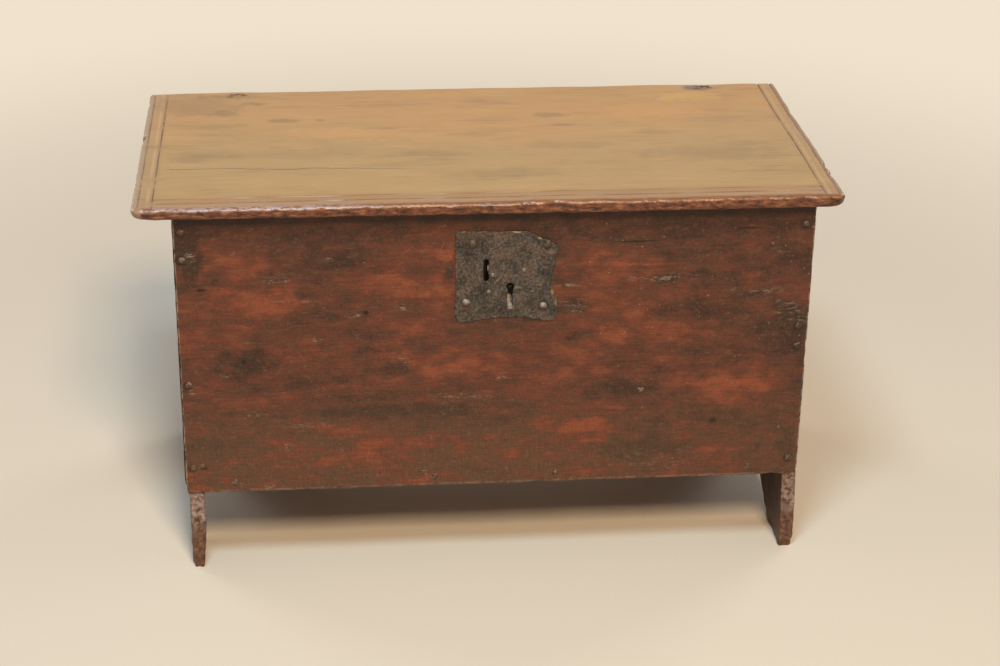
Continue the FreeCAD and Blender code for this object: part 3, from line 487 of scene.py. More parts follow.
def round_plan(points, low, high, radius):
    """Bend the square corners of a plan onto arcs, and its inner lines with them."""
    flat = points[:, PLAN]
    sign = np.sign(flat - (np.array(low) + np.array(high)) / 2)
    past = radius - np.minimum(np.abs(flat - low), np.abs(high - flat))
    both = (past > 0).all(axis=1)
    reach = past[both].max(axis=1)
    length = np.hypot(*past[both].T)
    pulled = past[both] * (reach / length)[:, None]
    edge = np.where(sign[both] > 0, np.array(high), np.array(low))
    flat[both] = edge - sign[both] * (radius - pulled)
    points[:, PLAN] = flat


def ease(points, flat_axis, low, high, inside, radius_high, radius_low):
    """Round the edges between an outline's sides and its two faces, onto arcs."""
    axes = others(flat_axis)
    for face, sign, radius in ((high, 1, radius_high), (low, -1, radius_low)):
        depth, way = inside(points[:, axes])
        drop = sign * (face[flat_axis] - points[:, flat_axis])
        radius = np.broadcast_to(radius, depth.shape)
        over, under = radius - depth, radius - drop
        bent = (over > 0) & (under > 0)
        reach = np.maximum(over, under)[bent]
        share = reach / np.hypot(over, under)[bent]
        points[np.ix_(bent, axes)] += (over[bent] * (1 - share))[:, None] * way[bent]
        points[bent, flat_axis] -= sign * under[bent] * (1 - share)


def ragged(points, flat_axis, inside, depth, wavelength, reach, seed):
    """Draw an outline in by a wandering amount that dies away from the edge."""
    axes = others(flat_axis)
    away, way = inside(points[:, axes])
    amount = np.maximum(wobble(points[:, axes], wavelength, seed), 0) ** 2
    amount += 0.4 * np.maximum(wobble(points[:, axes], wavelength / 4, seed + 1), 0) ** 2
    points[:, axes] += way * (depth * amount * np.exp(-np.maximum(away, 0) / reach))[:, None]


def dent(points, *dents):
    """Push points near each dent's centre, less towards the rim of an ellipsoid."""
    for centre, radii, push in dents:
        away = np.linalg.norm((points - np.array(centre)) / np.array(radii), axis=1)
        points += (np.maximum(0, 1 - away ** 2) ** 2)[:, None] * np.array(push, float)


def bare_inside(made, axis, place, way, above=0, reach=1):
    """Give the second material to a board's inner face: near a place, and facing one way."""
    for polygon in made.data.polygons:
        centre = polygon.center / MM
        near = way * (centre[axis] - place) > -reach and centre[Z] > above
        polygon.material_index = int(near and way * polygon.normal[axis] > 0.5)


def settle(made, body, slot, *nodes):
    """Hand a finished piece to the frame in place of its nodes."""
    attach(made, body)
    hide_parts(*nodes)


# ---- boards ----------------------------------------------------------------------------------

# Waves in the faces: size, wavelength and seed.
WAVES = {
    "lid": ((0.5, 300, 21), (0.25, 70, 22)),
    "front": ((0.55, 240, 41), (0.18, 45, 42)),
    "back": ((0.6, 200, 51), (0.25, 40, 52)),
    "end": ((0.5, 180, 61), (0.2, 40, 62)),
    "plate": ((0.28, 26, 81), (0.16, 9, 82), (0.10, 4.5, 83)),
}
# How far the lid and the back are sunk, so that their waves stay within the part's size.
LID_SUNK, BACK_SUNK = 0.9, 0.3
# Chipping of the outlines: depth, wavelength, reach and seed.
LID_CHIPS, LID_SMALL_CHIPS = (0.9, 60, 9, 31), (0.3, 16, 5, 37)
FRONT_CHIPS, BACK_CHIPS = (0.8, 70, 5, 43), (0.8, 60, 4, 53)
# Nicks in the lid's front edge: depth and reach.
NICK_DEPTH, NICK_REACH = 0.5, 5
# Radii of the edges between a board's faces and its sides: outer or upper face, and the other.
NOSING_EASE, LID_REAR_EASE = (7, 5), (1.6, 1.6)
FRONT_EASE, BACK_EASE = (2.2, 1.2), (1.8, 1.2)
LID_CORNER = 12
# The moulding's V grooves, by their distance from an end or the front.
END_QUIRKS = (8.5, 26)
FRONT_QUIRKS = (21, 36)
QUIRK_HALF = 1.5
QUIRK_DEPTH = 1.7
# The lid's rear edge is square, so its rounded outline runs on past it.
BEYOND = 60
# The nosing's lower edge is raised at the left: by how much, from where and over what length.
NOSING_RISE, NOSING_RISE_START, NOSING_RISE_RUN = 1.7, 60, -360
# Dents: centre, reach and push.
LID_DENTS = (
    ((LID_LOW[X], 44, 520), (11, 7, 14), (5, 0, 0)),
    ((LID_HIGH[X], -115, 524), (9, 16, 14), (-4, 0, -1.5)),
    ((LID_HIGH[X], -147, 524), (8, 12, 12), (-3, 0, -1)),
    ((LID_LOW[X] + 3, LID_LOW[Y] + 4, 508), (34, 26, 13), (3, 2, 1.5)),
    ((LID_HIGH[X] - 2, LID_LOW[Y] + 3, 510), (22, 20, 12), (-2, 1.5, 1)),
)
FRONT_DENTS = (
    ((FRONT_HIGH[X], FRONT_FACE + 4, BOARD_FOOT), (22, 14, 12), (-1, 1.5, 3.5)),
    ((FRONT_LOW[X], FRONT_FACE, BOARD_FOOT + 4), (14, 12, 12), (3, 1.5, 2)),
)


def quirk(distance, place, wear):
    """Depth of a V groove at a distance from an edge."""
    return QUIRK_DEPTH * wear * np.maximum(0, 1 - np.abs(distance - place) / QUIRK_HALF)


def lid_board(material):
    """The lid: nosed and moulded on its front and ends, worn, chipped and a little wavy."""
    low, high = LID_LOW, LID_HIGH
    grid = grid_lines(low, high, (2.2, 0.8, 40), (6, 0.8, (44, 5)), (1.5, 0.8, 8))
    points, faces = cell_surface(grid)
    plan_low = np.array([low[X], low[Y]])
    plan_high = np.array([high[X], high[Y] + BEYOND])
    inside = rectangle_inside(plan_low, plan_high, LID_CORNER)
    round_plan(points, plan_low, plan_high, LID_CORNER)
    ease(points, Z, low, high, inside, *NOSING_EASE)
    rear = rectangle_inside(plan_low - BEYOND, [high[X] + BEYOND, high[Y]])
    ease(points, Z, low, high, rear, *LID_REAR_EASE)
    flat = points[:, PLAN]
    x, y, z = points.T
    top = rising(z, low[Z], high[Z] - low[Z])
    wear = 0.75 + 0.3 * wobble(flat, 90, 11)
    from_end, from_front = np.minimum(x - low[X], high[X] - x), y - low[Y]
    cut = sum(quirk(from_end, place, wear) * (from_front > END_QUIRKS[0]) for place in END_QUIRKS)
    field = from_end > END_QUIRKS[1]
    cut = np.maximum(cut, sum(quirk(from_front, place, wear) * field for place in FRONT_QUIRKS))
    z -= cut * (top > 0.9)
    z += (waves(flat, *WAVES["lid"]) - LID_SUNK) * top
    ragged(points, Z, inside, *LID_CHIPS)
    ragged(points, Z, inside, *LID_SMALL_CHIPS)
    proud = rising(y, FRONT_FACE - 1, -3)
    leftward = rising(x, NOSING_RISE_START, NOSING_RISE_RUN)
    z += NOSING_RISE * leftward * rising(z, high[Z], low[Z] - high[Z]) * proud
    nicks = NICK_DEPTH * np.maximum(wobble(flat, 34, 23), 0) ** 2
    z -= nicks * np.exp(-from_front / NICK_REACH) * top
    dent(points, *LID_DENTS)
    z[:] = np.clip(z, low[Z], high[Z])
    settle(make_mesh("lid_planking", points, faces, material), "lid", "lid_wood", "lid_board")


# The keyhole's middle, and the hollow for the works behind the lock plate.
KEY_X = (BRIDGE_LOW[X] + BRIDGE_HIGH[X]) / 2
KEY_Z = BRIDGE_LOW[Z] + 9
MORTISE_LEFT, MORTISE_RIGHT = KEY_X - 46, KEY_X + 38
MORTISE_FOOT, MORTISE_TOP = KEY_Z - 28, KEY_Z + 45
MORTISE_FLOOR = FRONT_FACE + 14
# The front is flat within a reach of the lock's middle, and fully wavy a run further out, as
# the back is a run below its notches.
CALM_REACH, CALM_RUN = 80, 40
# How much shorter the front is at its left end, over what length.
FRONT_SHORT, FRONT_SHORT_RUN = 2.5, 40


def front_board(outer, inner):
    """The front: wavy, worn at its edges, hollowed behind the lock plate."""
    low, high = FRONT_LOW, FRONT_HIGH
    grid = grid_lines(low, high, (5, 1.2, 9, MORTISE_LEFT, MORTISE_RIGHT),
                      (3, 0.8, 3, MORTISE_FLOOR), (5, 1.2, 9, MORTISE_FOOT, MORTISE_TOP))
    x, y, z = cell_middles(grid)
    hollow = (x > MORTISE_LEFT) & (x < MORTISE_RIGHT) & (y < MORTISE_FLOOR)
    hollow &= (z > MORTISE_FOOT) & (z < MORTISE_TOP)
    points, faces = cell_surface(grid, ~hollow)
    inside = rectangle_inside(low[ELEVATION], high[ELEVATION])
    ease(points, Y, low, high, inside, *FRONT_EASE)
    flat = points[:, ELEVATION]
    face = rising(points[:, Y], MORTISE_FLOOR, low[Y] - MORTISE_FLOOR)
    lock_middle = [(PLATE_LOW[X] + PLATE_HIGH[X]) / 2, KEY_Z]
    away = np.maximum(np.abs(flat - lock_middle).max(axis=1) - CALM_REACH, 0)
    points[:, Y] += waves(flat, *WAVES["front"]) * face * rising(away, 0, CALM_RUN)
    points[:, X] += FRONT_SHORT * (1 - rising(points[:, X], low[X], FRONT_SHORT_RUN))
    ragged(points, Y, inside, *FRONT_CHIPS)
    dent(points, *FRONT_DENTS)
    made = make_mesh("front_planking", points, faces, outer, inner)
    bare_inside(made, Y, high[Y], 1)
    settle(made, "carcass", "front_wood", "front_board")


# The notches that clear the hinges, in the back's upper edge.
NOTCH_HALF_WIDTH = 7.8
NOTCH_DEPTH = 6.3
NOTCH_FALL = 14.3


def back_board(outer, inner):
    """The back, notched round the hinges at its upper edge."""
    low, high = BACK_LOW, BACK_HIGH
    notch_y, notch_z = high[Y] - NOTCH_DEPTH, high[Z] - NOTCH_FALL
    notches = [(middle - NOTCH_HALF_WIDTH, middle + NOTCH_HALF_WIDTH) for middle in HINGES_X]
    grid = grid_lines(low, high, (6, 1.5, 8, *notches), (3, 0.9, 3, notch_y), (6, 1.5, 8, notch_z))
    x, y, z = cell_middles(grid)
    gone = sum((x > left) & (x < right) for left, right in notches).astype(bool)
    points, faces = cell_surface(grid, ~(gone & (y > notch_y) & (z > notch_z)))
    inside = rectangle_inside(low[ELEVATION], high[ELEVATION])
    ease(points, Y, low, high, inside, *BACK_EASE)
    flat = points[:, ELEVATION]
    face = rising(points[:, Y], low[Y], high[Y] - low[Y])
    below = rising(flat[:, 1], notch_z, -CALM_RUN)
    wave = waves(flat, *WAVES["back"])
    points[:, Y] += wave * face * below - BACK_SUNK * face * below
    ragged(points, Y, inside, *BACK_CHIPS)
    made = make_mesh("back_planking", points, faces, outer, inner)
    bare_inside(made, Y, low[Y], -1)
    settle(made, "carcass", "back_wood", "back_board")


# The V between the feet: how far from the front it starts, how high it reaches, and the height
# up to which the board's grid bends with it.
FOOT_FLAT = 78
V_POINT = 97
V_BLEND = 170
# The front feet: how much thinner they are worn, and how far warp has turned their fronts and
# splayed their toes to the right, each with the height or length that it dies away over.
FOOT_WEAR, FOOT_WEAR_RISE = {"left": 4.5, "right": 0}, 60
FOOT_TURN, FOOT_TURN_RUN = {"left": 6.6, "right": 0.8}, 85
FOOT_SPLAY, FOOT_SPLAY_RISE = {"left": 0, "right": 2.6}, 110
# The ends' edges: their radius, and how much it grows towards the floor and over what height.
END_EASE, TOE_EASE, TOE_EASE_RISE = 1.5, 1.5, 45
# The toes' roughness: in depth along the edge, across the face, and the height it fades over.
TOE_FRAY, TOE_GRAIN, TOE_FACE, TOE_RISE = 1.1, 0.5, 0.5, 90


def end_board(side, outer, inner):
    """One end and its two feet, with the V between them and rough, worn toes."""
    low, high = span(f"{side}_end_board")
    sign, outer_x, inner_x = (-1, low[X], high[X]) if side == "left" else (1, high[X], low[X])
    front_step, back_step = FRONT_HIGH[Y], BACK_LOW[Y]
    middle = (low[Y] + high[Y]) / 2
    flat_half = middle - (FRONT_FACE + FOOT_FLAT)
    heels = (middle - flat_half, middle + flat_half)
    bends = [(heel - 5, heel + 5) for heel in heels] + [(middle - 7, middle + 7)]
    grid = grid_lines(low, high, (2.4, 0.9, 3), (6, 1.5, 9, front_step, back_step, *bends),
                      (6, 1.5, 0, (0, 12), BOARD_FOOT))
    x, y, z = cell_middles(grid)
    points, faces = cell_surface(grid, ((y > front_step) & (y < back_step)) | (z < BOARD_FOOT))
    x, y, z = points.T
    rise = V_POINT * (1 - rising(np.abs(y - middle), 0, flat_half))
    z += rise * (1 - rising(z, 0, V_BLEND))
    outline = [
        (low[Y], 0), (heels[0], 0), (middle, V_POINT), (heels[1], 0), (high[Y], 0),
        (high[Y], BOARD_FOOT), (back_step, BOARD_FOOT), (back_step, high[Z]),
        (front_step, high[Z]), (front_step, BOARD_FOOT), (low[Y], BOARD_FOOT),
    ]
    radius = END_EASE + TOE_EASE * np.exp(-z / TOE_EASE_RISE)
    ease(points, X, low, high, segment_inside(outline), radius, radius)
    x += waves(points[:, PROFILE], *WAVES["end"])
    worn = 1 - rising(z, 0, FOOT_WEAR_RISE)
    x -= FOOT_WEAR[side] * worn * ((x - low[X]) / (high[X] - low[X]))
    turn = FOOT_TURN[side] * (1 - rising(y, low[Y], FOOT_TURN_RUN))
    splay = FOOT_SPLAY[side] * (1 - rising(z, 0, FOOT_SPLAY_RISE))
    x += (turn + splay) * rising(z, BOARD_FOOT + 6, -12)
    centre_x = x.mean()
    dent(points, ((centre_x, low[Y], 0), (40, 16, 14), (0, 2, 0)),
         ((centre_x, high[Y], 0), (40, 16, 14), (0, -2, 0)),
         ((outer_x, low[Y], 0), (15, 16, 16), (-3 * sign, 0, 0)))
    rough = np.exp(-z / TOE_RISE)
    inward = np.sign(middle - y)
    fray = TOE_FRAY * np.abs(wobble(points, 24, 63)) + TOE_GRAIN * wobble(points, 9, 65)
    y += fray * rough * inward
    x += TOE_FACE * wobble(points, 13, 64) * rough
    if side == "right":
        dent(points, ((high[X], low[Y], BOARD_FOOT), (14, 16, 9), (0, 0, 4)))
    y[:] = np.clip(y, low[Y], high[Y])
    z[:] = np.maximum(z, 0)
    made = make_mesh(f"{side}_end_planking", points, faces, outer, inner)
    bare_inside(made, X, inner_x, -sign, BOARD_FOOT + 12, 4)
    settle(made, "carcass", "end_wood", f"{side}_end_board")


def bottom_board(material):
    """The bottom, seen from under the chest and through its open top."""
    low, high = span("bottom_board")
    points, faces = cell_surface(grid_lines(low, high, (8, 8, 0), (8, 8, 0), (4, 4, 0)))
    flat = points[:, PLAN]
    edge = rectangle_inside(low[PLAN], high[PLAN])(flat)[0]
    points[:, Z] += 0.5 * wobble(flat, 160, 71) * rising(edge, 0, 20)
    settle(make_mesh("bottom_planking", points, faces, material),
           "carcass", "inner_wood", "bottom_board")


# ---- ironwork ----------------------------------------------------------------------------------

PLATE_VOXEL = 0.8
WIRE_VOXEL = 0.35
# Nails of a row lie further apart than this across the board.
NAIL_GAP = 14
# Nail heads: how much wider than the solids' they are drawn, how far their rims lie below the
# row's outermost place where they don't rise more, the skirt's height, and the rings and sides.
HEAD_SPREAD = 1.14
HEAD_SET = 2.4
HEAD_SKIRT = 1.2
HEAD_RINGS, HEAD_SIDES = 9, 28
# Rows: node, axis and way that the heads face, and rise.
NAIL_ROWS = (
    ("front_nails_left", Y, -1, 2.4), ("front_nails_right", Y, -1, 2.4),
    ("back_nails_left", Y, 1, 2.4), ("back_nails_right", Y, 1, 2.4),
    ("bottom_nails_front", Y, -1, 1.0), ("bottom_nails_back", Y, 1, 2.4),
    ("bottom_nails_left", X, -1, 2.4), ("bottom_nails_right", X, 1, 2.4),
    ("lock_plate_nails", Y, -1, 3.6),
)


def reworked(name, node, voxel, shape, material, body, slot):
    """A node's solid closed up finely and then shaped by a function of its points."""
    made = placed(name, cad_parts[node].data.copy())
    remesh = made.modifiers.new("remesh", "REMESH")
    remesh.mode = "VOXEL"
    remesh.voxel_size = voxel * MM
    bpy.context.view_layer.update()
    evaluated = made.evaluated_get(bpy.context.evaluated_depsgraph_get())
    finished = bpy.data.meshes.new_from_object(evaluated)
    made.modifiers.clear()
    made.data = finished
    finished.name = name
    flat = np.empty(len(finished.vertices) * 3)
    finished.vertices.foreach_get("co", flat)
    points = shape(flat.reshape(-1, 3) / MM)
    finished.vertices.foreach_set("co", (points * MM).ravel())
    finished.materials.clear()
    finished.materials.append(material)
    finished.shade_smooth()
    settle(made, body, slot, node)


def hammered_plate(points):
    """Pits, hammer hollows and a curl at the corners of the lock plate."""
    flat = points[:, ELEVATION]
    face = rising(points[:, Y], PLATE_HIGH[Y], PLATE_LOW[Y] - PLATE_HIGH[Y])
    points[:, Y] -= waves(flat, *WAVES["plate"]) * face
    points[:, ELEVATION] += np.stack([wobble(flat, 19, 84), wobble(flat, 17, 85)], axis=1) * 0.35
    return points


def hammered_wire(points):
    """Slight unevenness on a wire pin."""
    return points + 0.12 * np.stack([wobble(points, 6, seed) for seed in (91, 92, 93)], axis=1)


def nail_places(node, facing):
    """Middle and radius of each head in a row, and the row's two ends along the nails."""
    points = np.array([vertex.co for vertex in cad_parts[node].data.vertices]) / MM
    axes = others(facing)
    low, high = points[:, facing].min(), points[:, facing].max()
    found = []
    while len(points):
        near = np.linalg.norm(points[:, axes] - points[0, axes], axis=1) < NAIL_GAP
        group = points[near]
        middle = (group.min(axis=0) + group.max(axis=0)) / 2
        radius = (group[:, axes].max(axis=0) - group[:, axes].min(axis=0)).mean() / 2
        found.append((middle, radius))
        points = points[~near]
    return found, low, high


def rose_head(middle, radius, facing, sign, rise, top, random):
    """The points of one uneven head, in rings from its crown to its rim and then its skirt."""
    phase = random.uniform(0, 2 * math.pi)
    crown = random.uniform(-0.15, 0.15, 2)
    lobes = random.uniform(0.03, 0.09, 3)
    share = np.repeat(np.arange(HEAD_RINGS + 1) / HEAD_RINGS, HEAD_SIDES)
    angle = np.tile(2 * math.pi * np.arange(HEAD_SIDES) / HEAD_SIDES, HEAD_RINGS + 1)
    outline = 1 + sum(size * np.cos((index + 2) * angle + phase * (index + 1))
                      for index, size in enumerate(lobes))
    facet = 0.10 * np.abs(np.sin(2 * angle + phase))
    height = rise * (1 - share ** 2.4) * (1 - facet * np.sin(math.pi * share))
    points = np.empty((len(share), 3))
    for axis, turned, shift in zip(others(facing), (np.cos(angle), np.sin(angle)), crown):
        points[:, axis] = middle[axis] + radius * share * outline * turned + shift * (1 - share)
    points[:, facing] = top - sign * (max(rise, HEAD_SET) - height)
    skirt = points[-HEAD_SIDES:].copy()
    skirt[:, facing] -= sign * HEAD_SKIRT
    return [*points, *skirt]


def nail_heads(node, facing, sign, rise, material, seed):
    """Hammered rose heads in place of a row of nails."""
    found, low, high = nail_places(node, facing)
    random = np.random.default_rng(seed)
    top = high if sign > 0 else low
    points, faces = [], []
    for middle, radius in found:
        start = len(points)
        points += rose_head(middle, radius * HEAD_SPREAD, facing, sign, rise, top, random)
        for inner in range(start, len(points) - HEAD_SIDES, HEAD_SIDES):
            for step in range(HEAD_SIDES):
                a, b = inner + step, inner + (step + 1) % HEAD_SIDES
                faces.append((a, b, b + HEAD_SIDES, a + HEAD_SIDES))
        faces.append(tuple(range(len(points) - HEAD_SIDES, len(points))))
    mesh = bpy.data.meshes.new(f"{node}_heads")
    mesh.from_pydata([tuple(point * MM) for point in points], [], faces)
    work = bmesh.new()
    work.from_mesh(mesh)
    bmesh.ops.remove_doubles(work, verts=work.verts, dist=1e-6)
    bmesh.ops.recalc_face_normals(work, faces=work.faces)
    work.to_mesh(mesh)
    work.free()
    mesh.validate()
    mesh.shade_smooth()
    mesh.materials.append(material)
    settle(placed(f"{node}_heads", mesh), "carcass", "nail_iron", node)


# ---- materials -------------------------------------------------------------------------------

# Colours here are 8-bit sRGB.
DUST = (150, 134, 108)
PALE = (196, 180, 156)
# A dark colour for soot and dark marks, also laid as painted shade in shadowed places.
SOOT_AND_SHADE = (28, 21, 17)
OLIVE = (88, 78, 52)
BROWNED = (98, 72, 54)
REDDENED = (128, 62, 48)
FLECK = (146, 122, 92)
SPECK = (190, 168, 146)
LIT_WOOD = (218, 200, 190)
LID_OAK = (177, 142, 98), (189, 144, 97)
LID_DARK, LID_LIGHT = (126, 98, 66), (214, 172, 118)
MOULDING, END_MOULDING = (150, 104, 76), (160, 120, 84)
GROOVE = (62, 40, 28)
ARRIS_HIGHLIGHT = (212, 178, 138)
SHEEN = (184, 158, 150)
NOSING_TOP_HIGHLIGHT, NOSING_LEFT, NOSING_RIGHT = (160, 108, 75), (168, 138, 106), (78, 52, 38)
NOSING_GLINT = (196, 180, 190)
RUST = (104, 66, 44)
IRON_SPECK = (150, 136, 122)
DULL_CROWN, DULL_HEAD, CROWN_HIGHLIGHT = (76, 64, 54), (78, 64, 55), (160, 150, 147)
RIVET, BOLT_NOSE_GLINT = (142, 128, 116), (226, 222, 214)

# Places on the front: middle x and z, reach in x and z, and amount; warm above 0, dull below.
FRONT_PATCHES = (
    (-299, 440, 70, 24, 0.05), (-282, 388, 66, 30, 0.09), (-120, 401, 95, 24, 0.06),
    (-59, 448, 13, 10, 0.11), (-59, 396, 13, 8, 0.09), (-78, 290, 120, 36, 0.04),
    (-257, 252, 60, 13, 0.04), (-206, 203, 26, 9, 0.06), (110, 443, 46, 28, 0.06),
    (178, 428, 90, 32, 0.05), (204, 428, 70, 3, 0.07), (208, 335, 90, 32, 0.05),
    (115, 273, 60, 20, 0.05), (251, 194, 30, 32, 0.08), (330, 250, 70, 38, 0.06),
    (300, 160, 50, 22, 0.05), (120, 196, 60, 16, 0.05), (364, 214, 36, 20, 0.05),
    (-195, 441, 44, 15, -0.08), (-56, 420, 12, 13, -0.13), (-386, 462, 28, 44, -0.17),
    (-316, 308, 46, 25, -0.13), (-193, 228, 230, 13, -0.07), (-144, 252, 90, 9, -0.06),
    (-127, 288, 34, 13, -0.08), (-363, 186, 46, 34, -0.06), (277, 405, 70, 20, -0.05),
    (105, 373, 34, 18, -0.12), (394, 336, 28, 46, -0.10), (158, 249, 60, 14, -0.07),
    (107, 327, 26, 9, -0.08), (219, 165, 90, 24, -0.07), (400, 166, 20, 30, -0.10),
)
# Pale scuffs and dark marks: the same, with the amount that is laid over the wood.
FRONT_SCUFFS = (
    (-275, 419, 24, 9, 0.48), (-206, 446, 8, 6, 0.55), (-115, 376, 9, 10, 0.55),
    (-176, 367, 13, 4, 0.40), (-119, 300, 14, 6, 0.55), (-223, 334, 9, 4, 0.65),
    (-341, 286, 8, 4, 0.60), (-385, 267, 8, 13, 0.40), (-311, 227, 13, 8, 0.40),
    (-249, 210, 46, 4, 0.30), (-29, 246, 52, 9, 0.24), (-266, 181, 7, 5, 0.45),
    (-87, 139, 7, 5, 0.45), (-294, 122, 11, 5, 0.35), (-332, 125, 10, 4, 0.75),
    (-383, 451, 10, 9, 0.62), (-247, 388, 42, 3, 0.28), (-55, 464, 7, 7, 0.70),
    (111, 401, 46, 4, 0.60), (105, 373, 32, 20, 0.22), (199, 253, 5, 11, 0.80),
    (224, 409, 62, 8, 0.38), (350, 388, 42, 7, 0.38), (223, 150, 70, 26, 0.12),
    (392, 352, 26, 30, 0.28), (-383, 155, 15, 6, 0.48), (19, 272, 17, 3, 0.50),
)
FRONT_MARKS = (
    (-161, 370, 5.5, 4, 0.9), (-319, 305, 4, 5, 0.8), (-369, 407, 9, 3, 0.8),
    (298, 200, 7, 6, 0.6), (187, 460, 38, 1.6, 0.8), (328, 475, 28, 1.4, 0.8),
    (-376, 152, 7, 4, 0.6),
)
# Bare boards inside: dark and light, how dusty and how rough.
RAW_WOOD = (100, 74, 52), (150, 116, 84), 0.20, 0.75
# Ramps: how far along a tone each colour is reached.
FRONT_TONES = (
    (0.36, (64, 42, 32)), (0.45, (88, 53, 41)), (0.53, (105, 58, 43)), (0.64, (138, 74, 51)))
NOSING_TONES = (
    (0.36, (48, 28, 20)), (0.45, (92, 52, 34)), (0.54, (120, 70, 45)), (0.64, (156, 103, 72)))
UNDER_TONES = (0.38, (76, 55, 40)), (0.50, (116, 86, 62)), (0.62, (148, 114, 84))
BARE_AND_GLINT_TONES = (
    (0.36, (84, 60, 48)), (0.46, (128, 100, 86)), (0.55, (164, 142, 134)), (0.66, (188, 170, 166)))
TOE_TONES = (0.38, (72, 50, 38)), (0.50, (112, 80, 60)), (0.64, (148, 114, 92))
# Stains on the lid, in the order they are laid: middle (x, y), reach, colour and amount.
GREYED = (110, 92, 68)
WARMED = (212, 152, 98)
LID_STAINS = (
    ((-334, 133), (26, 20, 20), GREYED, 0.40), ((-298, 170), (22, 12, 20), GREYED, 0.40),
    ((-262, 96), (30, 11, 20), GREYED, 0.48), ((-211, 97), (12, 7, 20), GREYED, 0.40),
    ((-384, -47), (36, 24, 20), GREYED, 0.34), ((109, 104), (34, 12, 20), GREYED, 0.42),
    ((121, 62), (20, 8, 20), GREYED, 0.32), ((-336, 205), (60, 17, 20), GREYED, 0.36),
    ((-120, 60), (16, 8, 20), GREYED, 0.30), ((236, 30), (46, 22, 20), GREYED, 0.22),
    ((20, -120), (110, 26, 20), GREYED, 0.24), ((300, -60), (120, 46, 20), GREYED, 0.26),
    ((-240, -30), (150, 30, 20), GREYED, 0.22), ((110, -20), (90, 20, 20), GREYED, 0.22),
    ((-372, 172), (96, 66, 40), (120, 96, 72), 0.34),
    ((-150, 40), (140, 40, 20), WARMED, 0.30), ((240, 110), (120, 34, 20), WARMED, 0.30),
    ((338, 208), (42, 15, 20), (104, 82, 82), 0.8),
    ((312, 172), (70, 26, 20), (214, 172, 96), 0.45),
)
# The crack at the lid's left: its y at the middle of the lid, half its width, and its ends.
CRACK_Y, CRACK_HALF, CRACK_START, CRACK_END = -91.5, 1.6, (-424, -400), (-60, -140)
# The lock plate's lower two nails, whose crowns get painted highlights: x and z.
HIGHLIT_NAILS = (-34, 380), (77, 373)
# On the lock plate: middle x and z, reach in x and z, colour and amount; the last is a painted
# highlight at the keyhole's foot.
PLATE_MARKS = (
    (-33, 376, 10, 8, (112, 66, 44), 0.50), (-24, 463, 6, 2.2, (140, 128, 56), 0.75),
    (-30, 472, 26, 12, (92, 70, 44), 0.40), (-36, 480, 4, 2, (170, 140, 70), 0.7),
    (32, 478, 8, 1.8, (196, 176, 138), 0.8), (62, 469, 5, 2.6, (190, 160, 120), 0.7),
    (76, 449, 8, 5, (136, 108, 98), 0.6), (80, 462, 7, 1.8, (176, 150, 90), 0.8),
    (33, 401, 9, 3, (150, 134, 122), 0.5), (79, 394, 4, 5, (186, 156, 130), 0.6),
    (84, 380, 3, 9, (170, 146, 116), 0.4), (24.5, 373.5, 5, 4, (186, 164, 150), 0.7),
)


